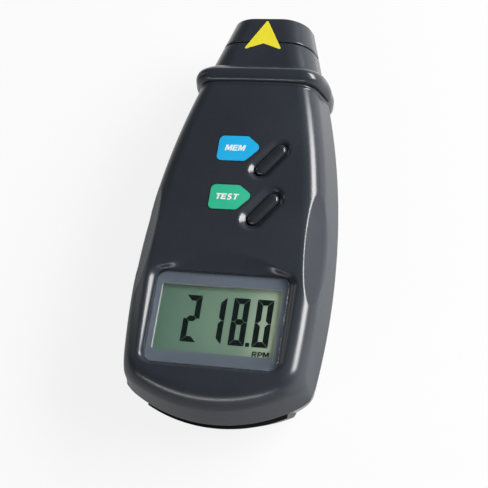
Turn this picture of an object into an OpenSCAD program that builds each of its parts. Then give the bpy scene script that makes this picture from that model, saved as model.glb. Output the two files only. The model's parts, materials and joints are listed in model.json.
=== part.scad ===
// Hand-held laser tachometer: clam-shell housing, display, two keys, optics, battery and board.
// It lies on its back: x to the right, y towards the nose, z up out of the face.
// Lengths along y are measured from the bottom end, and the part is centred on y at the end of the file.

/* [Housing] */
// Overall length from the battery door to the nose tip
length = 160; // [150:1:192]
// Greatest width, across the belly
body_w = 76; // [72:1:92]
// Greatest height of the face above the back
body_h = 37; // [36:0.5:45]
// Height of the seam between the two shells
seam_z = 19.5; // [19:0.1:20]
// Wall thickness of the mouldings
wall = 2.2; // [1.8:0.1:2.7]
// Distance of the belly, the widest place, from the bottom end
belly_y = 48; // [42:1:56]
// Width of the body under the collar, to which the bowed flanks run in
shoulder_w = 48.4; // [46:0.1:56]
// Radius of the bowed bottom end in plan
bottom_r = 59; // [54:0.1:70]
// Run of the softened corners where the bottom end meets the flanks
corner_run = 5; // [3:0.5:7]
// Rounding between the face and the flanks
edge_r = 8.5; // [7:0.1:8.8]
// Rounding between the face and the bottom end
toe_r = 8.5; // [7:0.1:9]
// Rounding between the back and the flanks
back_r = 10; // [8:0.1:11]
// Rounding between the back and the bottom end
heel_r = 9; // [7:0.1:10]
// Slope of the flanks, which lean in from the seam on both shells, in degrees
flank_flare = 14; // [8:0.5:15]
// Slope of the bottom end, in degrees
end_flare = 15.5; // [10:0.5:17]
// How far the collar bead stands out of the face and the back
collar_h = 2.3; // [1.5:0.1:3]
// How far the collar bead stands out of the flanks
collar_side = 3.8; // [2:0.1:4.6]
// Width of the collar bead along the body
collar_w = 7.8; // [6:0.1:10]
// Distance from the middle of the collar bead to the nose tip
collar_to_tip = 25.6; // [24:0.1:28]
// Height of the small ridge along the collar's foot
foot_h = 0.35; // [0.2:0.05:0.5]

/* [Nose] */
// Width of the nose at its tip
tip_w = 31.8; // [31:0.1:38.2]
// Height of the nose at its tip
tip_h = 25; // [23:0.1:27]
// Rounding of the nose section
nose_r = 10.5; // [8:0.1:11]
// Gain in half-width for each millimetre back from the tip
nose_taper = 0.31; // [0.27:0.005:0.35]
// Length of the separate nose cap
cap_len = 11.4; // [10:0.1:12.5]
// Width of the sensor window
window_w = 26; // [22:0.1:27]
// Height of the sensor window
window_h = 17; // [14:0.1:17.5]

/* [Display] */
// Width of the display lens
lens_w = 50.2; // [46:0.1:51]
// Length of the display lens along the body
lens_len = 34.3; // [30:0.1:35]
// Distance of the middle of the display from the bottom end
lens_y = 35.75; // [34:0.05:37]
// Depth of the lens surface below the top of the face
lens_sink = 2.4; // [2:0.1:2.8]
// Width of the clear display area
view_w = 45.7; // [40:0.1:46]
// Length of the clear display area
view_len = 25.3; // [22:0.1:26]

/* [Keys] */
// Distance of both keys to the right of the centre line
key_x = 11.1; // [8:0.1:12]
// Distance of the measure key from the bottom end
test_y = 78.4; // [76:0.1:81]
// Distance between the two keys
key_pitch = 19.8; // [17:0.1:22]
// Length of a key
key_len = 15; // [12:0.1:17]
// Width of a key
key_w = 4.8; // [4:0.1:5.7]
// Travel of a key
key_travel = 0.5; // [0.3:0.05:0.6]

/* [Battery] */
// Length of the battery block without its terminals
batt_len = 46; // [44:0.1:46.5]
// Width of the battery block
batt_w = 26.5; // [24:0.1:26.5]
// Thickness of the battery block
batt_t = 17; // [15.5:0.1:17.2]
// Width of the battery door
door_w = 53; // [50:0.1:54]
// Distance of the door's inner edge from the bottom end
door_top = 48.5; // [48:0.1:50]

/* [Hidden] */
$fn = 48;

// Clearances
fit = 0.15;
slide_gap = 0.3;
eps = 0.01;
over = 1;

// Housing values that follow from the sizes above
half_w = body_w / 2;
shoulder_half = shoulder_w / 2;
end_y = 0.5;
door_proud = 1.5;
seam_step = 0.25;
least_rise = 0.4;
face_crown = 0.5;
crest_y = 58;
face_r_low = 600;
face_r_high = 1800;
back_run = 34.4;
back_rise_r = 160;
corner_guess = 0.94;
corner_cut = corner_run / 5;
foot_w = 1.4;
nose_flare = 8;
nose_slope = 0.06;
collar_y = length - collar_to_tip;
collar_low = collar_y - collar_w / 2;
back_flat_end = collar_y - back_run;
nose_seam_y = length - cap_len;
flank_run = collar_y - belly_y;
flank_sink = half_w - shoulder_half;
flank_r = (flank_run * flank_run + flank_sink * flank_sink) / (2 * flank_sink);
arc_steps = 9;
face_steps = 3;
toe_steps = 7;
body_steps = 20;
foot_steps = 4;
collar_steps = 8;
neck_steps = 3;

// How far an arc of radius r has dropped at distance d from its crest
function arc_drop(d, r) = r - sqrt(r * r - d * d);
function lerp(a, b, t) = a + (b - a) * t;
function clamp01(t) = max(0, min(1, t));
function ease(t) = let (c = clamp01(t)) c * c * (3 - 2 * c);
function squared(t) = t * t;

// The bowed end meets the flank at the corner; the second estimate of its place is close enough
function flank_at_end(w) = half_w - arc_drop(belly_y - end_y - arc_drop(w, bottom_r), flank_r);
corner_w = flank_at_end(flank_at_end(half_w * corner_guess));
corner_y = end_y + arc_drop(corner_w, bottom_r);

// Plan and side profiles of the body and of the neck
function corner_soft(d) = corner_cut * squared(clamp01(1 - d / corner_run));
function body_half_w(y) = half_w - arc_drop(y - belly_y, flank_r) - corner_soft(y - corner_y);
function face_height(y) = body_h - seam_z - arc_drop(y - crest_y, y < crest_y ? face_r_low : face_r_high);
function back_height(y) = seam_z - arc_drop(max(0, y - back_flat_end), back_rise_r);
function neck_half_w(y) = tip_w / 2 + nose_taper * (length - y);
function neck_height(y) = tip_h / 2 + nose_slope * (length - y);

// The bead swells over the collar, with a small ridge along its foot,
// and the section changes from body to neck behind its crest
function bead(y) = let (u = (y - collar_y) / (collar_w / 2)) abs(u) < 1 ? sqrt(1 - u * u) : 0;
function foot(y) = let (u = (y - collar_low) / (foot_w / 2) + 1) abs(u) < 1 ? 1 - u * u : 0;
function to_neck(y) = ease((y - collar_y) / (collar_w / 2));

// Section sizes at y, set in by t and lowered by drop:
// half-width, height from the seam, rounding, flare, crown
function section_sizes(y, side, t, drop) =
  let (
    k = to_neck(y),
    swell = t > 0 ? 0 : bead(y),
    ridge = t > 0 ? 0 : foot_h * foot(y),
    step = side > 0 ? 0 : seam_step * (1 - k),
    body_height = side > 0 ? face_height(y) : back_height(y),
    body_round = side > 0 ? edge_r : back_r,
    flare = lerp(flank_flare, nose_flare, k),
    crown = side > 0 ? lerp(face_crown, 0, k) : 0,
    height = lerp(body_height, neck_height(y), k) + collar_h * swell + ridge - t - drop
  ) [
    lerp(body_half_w(y), neck_half_w(y), k) + collar_side * swell + ridge - step - t / cos(flare),
    height,
    min(lerp(body_round, nose_r, k) - t, height - crown - least_rise),
    flare,
    crown
  ];

// Where a section's rounding has its centre, across and up,
// and the section's right half from the seam to the middle
function shoulder(s) = s[1] - s[4] - s[2];
function flat_half(s) = s[0] - s[2] * cos(s[3]) - (shoulder(s) + s[2] * sin(s[3])) * tan(s[3]);
function right_half(s) =
  let (flat = flat_half(s), up = shoulder(s)) concat(
    [[s[0], 0]],
    [for (i = [0:arc_steps])
      let (a = lerp(s[3], 90, i / arc_steps)) [flat + s[2] * cos(a), up + s[2] * sin(a)]],
    [for (j = [1:face_steps - 1]) let (u = 1 - j / face_steps) [flat * u, s[1] - s[4] * u * u]]
  );

// Whole section, from the right seam over the face to the left seam
function half_section(s) =
  let (r = right_half(s), n = len(r)) concat(r, [[0, s[1]]], [for (i = [n - 1:-1:0]) [-r[i][0], r[i][1]]]);

// Length of the bottom end from its foot on the seam to the flat of the face or of the back
function end_run(h, r) = (h - r + r * sin(end_flare)) * tan(end_flare) + r * cos(end_flare);
function end_height(side) = side > 0 ? face_height(corner_y) : back_height(corner_y);
function end_round(side) = side > 0 ? toe_r : heel_r;
function end_stop(side) = corner_y + end_run(end_height(side), end_round(side));
end_wall = wall / cos(end_flare);

// The bottom end is bowed: points near the middle move down, and the move fades out under the display
bow_end = 45;
function bow(x, y) =
  let (u = min(abs(x), corner_w))
  (arc_drop(corner_w, bottom_r) - arc_drop(u, bottom_r) - corner_soft(corner_w - u))
  * clamp01((bow_end - y) / (bow_end - end_stop(-1)));

// A section's points in space, flattened to the seam for the foot of the bottom end
function place_section(pts, y, side, flat) =
  [for (p = pts) [side * p[0], y - bow(p[0], y), seam_z + (flat ? 0 : side * p[1])]];

// Stations along a shell half: [y outside, y inside, drop outside, drop inside, flattened to the seam]
function end_stations(side, out) =
  let (
    r = end_round(side),
    h = end_height(side),
    y_out = end_stop(side),
    y_in = corner_y + end_wall + end_run(h - wall, r - wall)
  ) concat(
    [[corner_y - out, corner_y + end_wall, 0, 0, true]],
    [for (i = [0:toe_steps])
      let (a = lerp(end_flare, 90, i / toe_steps))
      [
        y_out - r * cos(a) - out * (1 - i / toe_steps),
        y_in - (r - wall) * cos(a),
        r * (1 - sin(a)), (r - wall) * (1 - sin(a)), false
      ]
    ]
  );
function run(from, to, steps) =
  [for (i = [1:steps]) let (y = lerp(from, to, i / steps)) [y, y, 0, 0, false]];
function collar_stations() = concat(
  run(collar_low - foot_w - eps, collar_low - eps, foot_steps),
  [for (i = [0:collar_steps])
    let (y = collar_y - collar_w / 2 * cos(180 * i / collar_steps)) [y, y, 0, 0, false]]
);

function shell_stations(side) = concat(
  end_stations(side, 0),
  run(end_stop(side), collar_low - foot_w - eps, body_steps),
  collar_stations(),
  run(collar_y + collar_w / 2, nose_seam_y, neck_steps)
);

// One closed loop of a shell half: the outside from right to left, then the inside back again
function shell_loop(st, side) =
  let (
    outer = half_section(section_sizes(st[0], side, 0, st[2])),
    inner = half_section(section_sizes(st[1], side, wall, st[3])),
    a = place_section(outer, st[0], side, st[4]),
    b = place_section(inner, st[1], side, st[4]),
    n = len(a)
  ) concat(a, [for (i = [n - 1:-1:0]) b[i]]);

function flatten(lists) = [for (l = lists) each l];

// Side faces between successive closed loops of n points
function loft_sides(count, n) =
  [for (s = [0:count - 2], k = [0:n - 1])
    let (a = s * n + k, b = s * n + (k + 1) % n)
    each [[a, b, b + n], [a, b + n, a + n]]];

// A half shell: C-shaped loops, closed at both ends by strips between the outside and the inside
module half_shell(stations, side) {
  loops = [for (st = stations) shell_loop(st, side)];
  n = len(loops[0]);
  m = n / 2;
  last = (len(loops) - 1) * n;
  ends = [for (j = [0:m - 2])
    let (o = j, i = n - 1 - j)
    each [
      [o + 1, o, i], [o + 1, i, i - 1],
      [last + o, last + o + 1, last + i - 1], [last + o, last + i - 1, last + i]
    ]
  ];
  polyhedron(flatten(loops), concat(loft_sides(len(loops), n), ends), convexity = 10);
}

// A full section of the nose at y, set in by t, as one closed loop
function nose_loop(y, t) =
  let (
    s = [neck_half_w(y) - t, neck_height(y) - t, nose_r - t, nose_flare, 0],
    h = half_section(s),
    n = len(h)
  ) concat(
    [for (p = h) [p[0], y, seam_z + p[1]]],
    [for (i = [1:n - 2]) [-h[i][0], y, seam_z - h[i][1]]]
  );

// A solid lofted through closed loops, with flat ends
module sleeve(loops) {
  n = len(loops[0]);
  last = (len(loops) - 1) * n;
  ends = [[for (k = [n - 1:-1:0]) k], [for (k = [0:n - 1]) last + k]];
  polyhedron(flatten(loops), concat(loft_sides(len(loops), n), ends), convexity = 6);
}

// Plain outlines that repeat
module rounded_rect(w, l, r) {
  square([w - 2 * r, l], center = true);
  square([w, l - 2 * r], center = true);
  for (x = [-1, 1], y = [-1, 1]) translate([x * (w / 2 - r), y * (l / 2 - r)]) circle(r);
}
module plate(w, l, r, z0, z1) translate([0, 0, z0]) linear_extrude(z1 - z0) rounded_rect(w, l, r);
module stadium(l, w) {
  square([l - w, w], center = true);
  for (x = [-1, 1]) translate([x * (l - w) / 2, 0]) circle(w / 2);
}
module bar(l, w, z0, z1) translate([0, 0, z0]) linear_extrude(z1 - z0) stadium(l, w);
module post(at, r, z0, z1) translate([at[0], at[1], z0]) cylinder(h = z1 - z0, r = r);
module block(x0, x1, y0, y1, z0, z1) translate([x0, y0, z0]) cube([x1 - x0, y1 - y0, z1 - z0]);
// A round bar along y
module rod(at, r, y0, y1) translate([at[0], y0, at[1]]) rotate([-90, 0, 0]) cylinder(h = y1 - y0, r = r);

// Board and the heights of what is stacked on it
board_z = 23.4;
board_t = 1.6;
board_top = board_z + board_t;
board_low_w = 56;
board_high_w = 45;
board_y0 = 15;
board_step_y = 58;
board_y1 = 111.5;

// Display stack
lens_z = body_h - lens_sink;
lens_t = 1.6;
lens_corner = 3.3;
view_corner = 1.5;
ledge_t = 1.4;
ledge_z = lens_z - lens_t - ledge_t;
glass_gap = 0.2;
glass_w = 50;
glass_len = 31;
glass_back_len = 26;
glass_t = 1.4;
glass_top = ledge_z - glass_gap;
glass_bottom = glass_top - 2 * glass_t;
holder_w = 54;
holder_len = 34;
holder_window_w = 40;
holder_window_len = 18;
holder_lip = 0.2;
holder_corner = 1;
strip_w = 2;
strip_len = 48;
strip_off = (glass_back_len + glass_len) / 4;
scoop_margin = 0.4;
hood_rise = 7.4;
hood_half_w = 28.2;
hood_r = 47.4;
display_boss_w = 56;
display_boss_rim = 2;
display_boss_y1 = lens_y + lens_len / 2 + hood_rise + scoop_margin;
display_boss_y0 = lens_y - lens_len / 2 - display_boss_rim;
view_margin = 0.5;

// Keys, from the board upwards
key_angle = 52;
mem_y = test_y + key_pitch;
switch_size = 6;
switch_corner = 0.5;
switch_h = 3.4;
switch_top = board_top + switch_h;
plunger_r = 1.7;
plunger_play = 0.05;
plunger_stand = 1;
plunger_top = switch_top + plunger_stand;
switch_floor_gap = 0.2;
foot_r = 1.5;
foot_len = 0.8;
plunger_len = 2.2;
flange_t = 1;
flange_rim = 1.3;
flange_z = plunger_top + foot_len;
boss_bottom = flange_z + flange_t + slide_gap;
key_sink = 0.4;
key_stand = 2.2;
key_top = body_h - key_sink;
well_floor = key_top - key_stand;
well_rim = 2.2;
well_floor_rim = 0.8;
key_boss_rim = 3.2;
key_boss_top = well_floor + 1;

// Fasteners
case_screw_at = [[-26.5, 66], [26.5, 66], [-17, 115.5], [17, 115.5]];
case_screw_r = 1.3;
case_head_r = 2.5;
case_head_h = 1.8;
case_head_z = 13;
case_screw_len = 14;
tower_r = 3.6;
front_tower_r = 3.2;
screw_spare = 1;
slot_w = 0.7;
slot_depth = 0.7;
slot_rim = 0.8;
board_screw_at = [[-24.5, 55.3], [24.5, 55.3], [-19.5, 108], [19.5, 108]];
board_screw_r = 1.1;
board_head_r = 2.1;
board_head_h = 1.2;
board_screw_len = 7;
board_boss_r = 2.4;

// Optics
axis_z = seam_z;
bracket_w = 30;
bracket_h = 15.2;
bracket_back = 9.9;
bracket_set = 5.5;
bracket_y0 = collar_y - bracket_back;
bracket_y1 = nose_seam_y - bracket_set;
laser_x = -8.5;
laser_r = 3;
laser_lip = 1;
snout_len = 2;
snout_r = 2.2;
aperture_r = 1;
seat_play = 0.05;
receiver_x = 6.5;
receiver_r = 6.4;
tunnel_r = 5;
sensor_r = 2.5;
sensor_set = 0.5;
lens_pocket = 4;
sensor_bore = 7.5;
lens_seat_y = bracket_y1 - lens_pocket;
sensor_tip_y = bracket_y0 + sensor_bore;
cradle_t = 1.6;
cradle_set = 3.5;
cradle_y = [bracket_y0 + cradle_set, bracket_y1 - cradle_set];
cradle_w = 26;
window_t = 1.5;
window_recess = 2.5;
window_r = 7.5;
window_ledge = 1;
spigot_len = 4;
groove = 0.6;
tip_r = 0.5;

// Battery compartment and door
door_play = 0.6;
door_skin_z = wall + door_play;
batt_r = 2;
batt_play = 0.6;
batt_z = wall + slide_gap;
batt_x0 = slide_gap / 2 - door_w / 2;
batt_y0 = 19;
batt_y1 = batt_y0 + batt_w;
batt_mid_y = (batt_y0 + batt_y1) / 2;
batt_mid_z = batt_z + batt_t / 2;
stud_pitch = 12.7;
stud_h = 3;
stud_r = [4, 3];
stud_play = 0.1;
snap_t = 5;
snap_h = 12;
snap_margin = 0.5;
snap_gap = 0.4;
snap_x = batt_x0 + batt_len + snap_gap;
roof_z = batt_z + batt_t + batt_play;
roof_t = 1.2;
box_margin = 1.9;
box_half_w = door_w / 2 + box_margin;
box_wall = 1.5;
box_y1 = batt_y1 + 2 * batt_play;
door_end_h = 16;
tongue_out = 1.2;
lip_t = 0.95;
tongue_set = 1;
door_step_y = 19;
door_spare = 8;
door_steps = 4;
grip_count = 6;
grip_w = 18;
grip_y = 24;
grip_pitch = 2.2;
grip_depth = 0.5;
lead_r = 0.6;
lead_off = 5;
lead_room = 2;
lead_y = [batt_mid_y - lead_off, batt_mid_y + lead_off];
lead_x = 24.2;

// Colours
shell_colour = [0.17, 0.19, 0.22];
key_colour = [0.11, 0.12, 0.14];
board_colour = [0.09, 0.36, 0.2];
metal_colour = [0.75, 0.75, 0.72];
brass_colour = [0.78, 0.62, 0.3];
chip_colour = [0.08, 0.08, 0.09];

// Grip scallop on the shoulder of each flank
scallop_y = 78.9;
scallop_r = 300;
scallop_depth = 0.85;
scallop_tilt = 41;
module scallop(side) {
  s = section_sizes(scallop_y, 1, 0, 0);
  reach = s[2] + scallop_r - scallop_depth;
  across = flat_half(s) + reach * cos(scallop_tilt);
  translate([side * across, scallop_y, seam_z + shoulder(s) + reach * sin(scallop_tilt)]) sphere(scallop_r);
}

// Sunk place for the display, with an arched hood at its upper edge
module display_scoop() {
  low_y = lens_y - lens_len / 2 - scoop_margin;
  top_y = lens_y + lens_len / 2 + hood_rise;
  hull() {
    translate([0, lens_y, 0])
      plate(lens_w + 2 * scoop_margin, lens_len + 2 * scoop_margin, lens_corner, lens_z, lens_z + eps);
    translate([0, 0, body_h]) linear_extrude(eps) intersection() {
      translate([0, top_y - hood_r]) circle(hood_r);
      polygon([
        [-lens_w / 2 - scoop_margin, low_y], [lens_w / 2 + scoop_margin, low_y],
        [hood_half_w, top_y], [-hood_half_w, top_y]
      ]);
    }
  }
}

// Dished well around a key
module key_well() {
  half = (key_len - key_w) / 2;
  rise = body_h - well_floor;
  hull() for (x = [-half, half]) translate([x, 0, well_floor])
    cylinder(h = rise, r1 = key_w / 2 + well_floor_rim, r2 = key_w / 2 + well_rim, $fn = 32);
}
module at_key(y) translate([key_x, y, 0]) rotate([0, 0, key_angle]) children();

module front_shell() color(shell_colour) difference() {
  union() {
    half_shell(shell_stations(1), 1);
    translate([0, (display_boss_y0 + display_boss_y1) / 2, 0])
      plate(display_boss_w, display_boss_y1 - display_boss_y0, lens_corner + display_boss_rim,
        ledge_z, lens_z + scoop_margin);
    for (y = [test_y, mem_y]) at_key(y)
      bar(key_len + 2 * key_boss_rim, key_w + 2 * key_boss_rim, boss_bottom, key_boss_top);
    for (p = case_screw_at) post(p, front_tower_r, seam_z, face_height(p[1]) + seam_z - wall);
    for (p = board_screw_at) post(p, board_boss_r, board_top, face_height(p[1]) + seam_z - wall);
    for (y = cradle_y) front_clamp(y);
  }
  display_scoop();
  translate([0, lens_y, 0]) {
    plate(lens_w + 2 * fit, lens_len + 2 * fit, lens_corner, lens_z - lens_t, body_h);
    plate(view_w + 2 * view_margin, view_len + 2 * view_margin, view_corner, ledge_z - over, lens_z);
  }
  for (y = [test_y, mem_y]) at_key(y) {
    key_well();
    bar(key_len + 2 * slide_gap, key_w + 2 * slide_gap, boss_bottom - over, body_h);
  }
  for (p = case_screw_at)
    post(p, case_screw_r, seam_z - over, case_head_z + case_screw_len + screw_spare);
  for (p = board_screw_at)
    post(p, board_screw_r, board_top - over, board_z + board_screw_len + screw_spare / 2);
  for (side = [-1, 1]) scallop(side);
}

// Ribs that hold the optics bracket between the shells
module front_clamp(y)
  block(-cradle_w / 2, cradle_w / 2, y - cradle_t / 2, y + cradle_t / 2,
    axis_z + bracket_h / 2, seam_z + section_sizes(y, 1, wall, 0)[1] + wall / 2);
module rear_cradle(y)
  block(-cradle_w / 2, cradle_w / 2, y - cradle_t / 2, y + cradle_t / 2,
    seam_z - section_sizes(y, -1, wall, 0)[1] - wall / 2, axis_z - bracket_h / 2);

module rear_shell() color(shell_colour) difference() {
  union() {
    half_shell(shell_stations(-1), -1);
    for (p = case_screw_at) post(p, tower_r, seam_z - back_height(p[1]) + wall, seam_z);
    for (y = cradle_y) rear_cradle(y);
    battery_box();
  }
  door_opening();
  for (p = case_screw_at) {
    post(p, case_head_r + fit, -over, case_head_z);
    post(p, case_screw_r + fit, 0, seam_z + over);
  }
}

// Walls and roof of the battery compartment, moulded with the rear shell
module battery_box() {
  for (side = [-1, 1])
    block(side > 0 ? box_half_w : -box_half_w - box_wall, side > 0 ? box_half_w + box_wall : -box_half_w,
      batt_y0, box_y1 + box_wall, wall, roof_z + roof_t);
  block(-box_half_w - box_wall, box_half_w + box_wall, box_y1, box_y1 + box_wall,
    door_skin_z, roof_z + roof_t);
  difference() {
    block(-box_half_w - box_wall, box_half_w + box_wall, batt_y0, box_y1 + box_wall,
      roof_z, roof_z + roof_t);
    block(lead_x - lead_room, box_half_w, lead_y[0] - lead_room, lead_y[1] + lead_room,
      roof_z - over, roof_z + roof_t + over);
  }
}

// Outline of the door: wide at its end, narrower where the shell's lips overlap its tongues
module door_plan(grow, z0, z1) {
  block(-door_w / 2 - grow, door_w / 2 + grow, -over, door_step_y + grow, z0, z1);
  block(-door_w / 2 + tongue_out - grow, door_w / 2 - tongue_out + grow, -over, door_top + grow, z0, z1);
}

// Space that the door takes out of the rear shell, with the grooves that its tongues run in
module door_opening() {
  half = door_w / 2 + fit;
  door_plan(fit, -over, door_skin_z);
  block(-half, half, -over, batt_y0 - eps, -over, door_end_h + fit);
  block(-half, half, -over, door_top + fit, lip_t, door_skin_z);
}

module battery_door() color(key_colour) difference() {
  union() {
    intersection() {
      half_shell(
        concat(end_stations(-1, door_proud), run(end_stop(-1), door_top + door_spare, door_steps)), -1);
      door_plan(0, -over, door_end_h);
    }
    block(-door_w / 2, door_w / 2, door_step_y - over, door_top - tongue_set, lip_t + fit, wall);
  }
  for (i = [0:grip_count - 1])
    translate([0, grip_y + grip_pitch * i, 0])
      block(-grip_w / 2, grip_w / 2, 0, grip_pitch / 2, -over, grip_depth);
}

module nose_cap() color(shell_colour) difference() {
  sleeve([
    nose_loop(nose_seam_y - spigot_len, wall + fit), nose_loop(nose_seam_y, wall + fit),
    nose_loop(nose_seam_y + eps, groove), nose_loop(nose_seam_y + groove, groove),
    nose_loop(nose_seam_y + groove + eps, 0), nose_loop(length - tip_r, 0),
    nose_loop(length - tip_r / 3, tip_r / 3), nose_loop(length, tip_r)
  ]);
  along_nose(nose_seam_y - spigot_len - over, length + over)
    rounded_rect(window_w - 2 * window_ledge, window_h - 2 * window_ledge, window_r - window_ledge);
  along_nose(length - window_recess - window_t, length + over)
    rounded_rect(window_w + 2 * fit, window_h + 2 * fit, window_r + fit);
}
// Extrudes an outline along the nose axis
module along_nose(y0, y1) translate([0, y1, axis_z]) rotate([90, 0, 0]) linear_extrude(y1 - y0) children();

module sensor_window() color([0.25, 0.05, 0.07, 0.8])
  along_nose(length - window_recess - window_t, length - window_recess)
    rounded_rect(window_w, window_h, window_r);

module display_lens() color([0.8, 0.85, 0.88, 0.4])
  translate([0, lens_y, 0]) plate(lens_w, lens_len, lens_corner, lens_z - lens_t, lens_z);

module lcd_panel() color([0.6, 0.72, 0.52]) translate([0, lens_y, 0]) {
  block(-glass_w / 2, glass_w / 2, -glass_len / 2, glass_len / 2, glass_top - glass_t, glass_top);
  block(-glass_w / 2, glass_w / 2, -glass_back_len / 2, glass_back_len / 2,
    glass_bottom, glass_top - glass_t);
}

module lcd_holder() color("white") translate([0, lens_y, 0]) difference() {
  plate(holder_w, holder_len, holder_corner, board_top, glass_top - holder_lip);
  block(-glass_w / 2 - fit, glass_w / 2 + fit, -glass_len / 2 - fit, glass_len / 2 + fit,
    glass_bottom, glass_top);
  block(-holder_window_w / 2, holder_window_w / 2, -holder_window_len / 2, holder_window_len / 2,
    board_top - over, glass_top);
  for (side = [-1, 1]) translate([0, side * strip_off, 0])
    block(-strip_len / 2 - fit, strip_len / 2 + fit, -strip_w / 2 - fit, strip_w / 2 + fit,
      board_top - over, glass_top);
}

module contact_strip(side) color([0.85, 0.5, 0.55]) translate([0, lens_y + side * strip_off, 0])
  block(-strip_len / 2, strip_len / 2, -strip_w / 2, strip_w / 2, board_top, glass_top - glass_t);
module contact_strip_upper() contact_strip(1);
module contact_strip_lower() contact_strip(-1);

module circuit_board() color(board_colour) difference() {
  union() {
    block(-board_low_w / 2, board_low_w / 2, board_y0, board_step_y, board_z, board_top);
    block(-board_high_w / 2, board_high_w / 2, board_step_y, board_y1, board_z, board_top);
  }
  for (p = board_screw_at) post(p, board_screw_r + fit, board_z - over, board_top + over);
}

// Key: a bar with a round top, a flange that keeps it in the shell and a foot on the switch plunger
module key(y) color(key_colour) at_key(y) {
  half = (key_len - key_w) / 2;
  crest = key_top - key_w / 2;
  bar(key_len, key_w, flange_z, crest);
  for (x = [-half, half]) translate([x, 0, crest]) sphere(key_w / 2);
  translate([-half, 0, crest]) rotate([0, 90, 0]) cylinder(h = 2 * half, r = key_w / 2);
  bar(key_len + 2 * flange_rim, key_w + 2 * flange_rim, flange_z, flange_z + flange_t);
  post([0, 0], foot_r, plunger_top, flange_z + eps);
}
module mem_key() key(mem_y);
module test_key() key(test_y);

module plunger(y) color("white") post([key_x, y], plunger_r, plunger_top - plunger_len, plunger_top);
module mem_plunger() plunger(mem_y);
module test_plunger() plunger(test_y);

module key_switch(y) color(chip_colour) translate([key_x, y, 0]) difference() {
  plate(switch_size, switch_size, switch_corner, board_top, switch_top);
  post([0, 0], plunger_r + plunger_play,
    plunger_top - plunger_len - key_travel - switch_floor_gap, switch_top + over);
}
module mem_switch() key_switch(mem_y);
module test_switch() key_switch(test_y);

// Square chip with a row of pins along each side
chip_at = [-9, 88];
chip_size = 12;
chip_t = 1.6;
chip_lift = 0.2;
chip_pins = 8;
chip_pitch = 1.2;
pin_len = 1.6;
pin_w = 0.5;
module controller_chip() color(chip_colour) translate([chip_at[0], chip_at[1], board_top]) {
  translate([0, 0, chip_lift]) linear_extrude(chip_t) square(chip_size, center = true);
  for (turn = [0:3], i = [0:chip_pins - 1]) rotate([0, 0, 90 * turn])
    translate([chip_size / 2 - chip_lift, (i - (chip_pins - 1) / 2) * chip_pitch - pin_w / 2, 0])
      cube([pin_len, pin_w, pin_w]);
}

// Metal crystal can with a rim around its foot
crystal_at = [-12, 100.5];
crystal_len = 11;
crystal_w = 4.6;
crystal_h = 3.4;
crystal_rim = 0.4;
module crystal_can() color(metal_colour) translate([crystal_at[0], crystal_at[1], 0]) {
  bar(crystal_len, crystal_w, board_top, board_top + crystal_h);
  bar(crystal_len + 2 * crystal_rim, crystal_w + 2 * crystal_rim, board_top, board_top + crystal_rim);
}

// Upright capacitor with a crimped groove near its foot
cap_at = [0, 106];
cap_r = 3.15;
cap_h = 7;
crimp_z = 1.2;
crimp_h = 0.5;
crimp_r = 2.9;
module electrolytic_capacitor() color([0.12, 0.14, 0.3]) {
  post(cap_at, cap_r, board_top, board_top + crimp_z);
  post(cap_at, crimp_r, board_top + crimp_z, board_top + crimp_z + crimp_h);
  post(cap_at, cap_r, board_top + crimp_z + crimp_h, board_top + cap_h);
}

// A row of small resistors
resistor_at = [-19.5, 72];
resistor_size = [2, 1.2, 0.6];
resistor_count = 6;
resistor_pitch = 4;
module chip_resistors() color(chip_colour) for (i = [0:resistor_count - 1])
  translate([resistor_at[0], resistor_at[1] + resistor_pitch * i, board_top]) cube(resistor_size);

module optics_bracket() color([0.13, 0.13, 0.14]) difference() {
  block(-bracket_w / 2, bracket_w / 2, bracket_y0, bracket_y1,
    axis_z - bracket_h / 2, axis_z + bracket_h / 2);
  rod([laser_x, axis_z], laser_r + seat_play, bracket_y0 - over, bracket_y1 + over);
  rod([receiver_x, axis_z], receiver_r + seat_play, lens_seat_y, bracket_y1 + over);
  rod([receiver_x, axis_z], tunnel_r, sensor_tip_y, lens_seat_y + over);
  rod([receiver_x, axis_z], sensor_r + seat_play, bracket_y0 - over, sensor_tip_y + over);
}

module laser_module() color(brass_colour) difference() {
  union() {
    rod([laser_x, axis_z], laser_r, bracket_y0, bracket_y1 + laser_lip);
    rod([laser_x, axis_z], snout_r, bracket_y1 + laser_lip, bracket_y1 + laser_lip + snout_len);
  }
  rod([laser_x, axis_z], aperture_r, bracket_y1, bracket_y1 + laser_lip + snout_len + over);
}

// Plano-convex lens with its flat side on the seat
lens_edge = 1.5;
lens_bulge_r = 11;
module receiver_lens() color([0.8, 0.85, 0.9, 0.5]) {
  sag = arc_drop(receiver_r, lens_bulge_r);
  translate([receiver_x, lens_seat_y, axis_z]) rotate([-90, 0, 0]) intersection() {
    cylinder(h = lens_edge + sag, r = receiver_r);
    translate([0, 0, lens_edge + sag - lens_bulge_r]) sphere(lens_bulge_r);
  }
}

module photo_sensor() color([0.1, 0.1, 0.12]) {
  rod([receiver_x, axis_z], sensor_r, bracket_y0 + sensor_set, sensor_tip_y - over);
  translate([receiver_x, sensor_tip_y - over, axis_z]) sphere(sensor_r);
}

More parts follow.
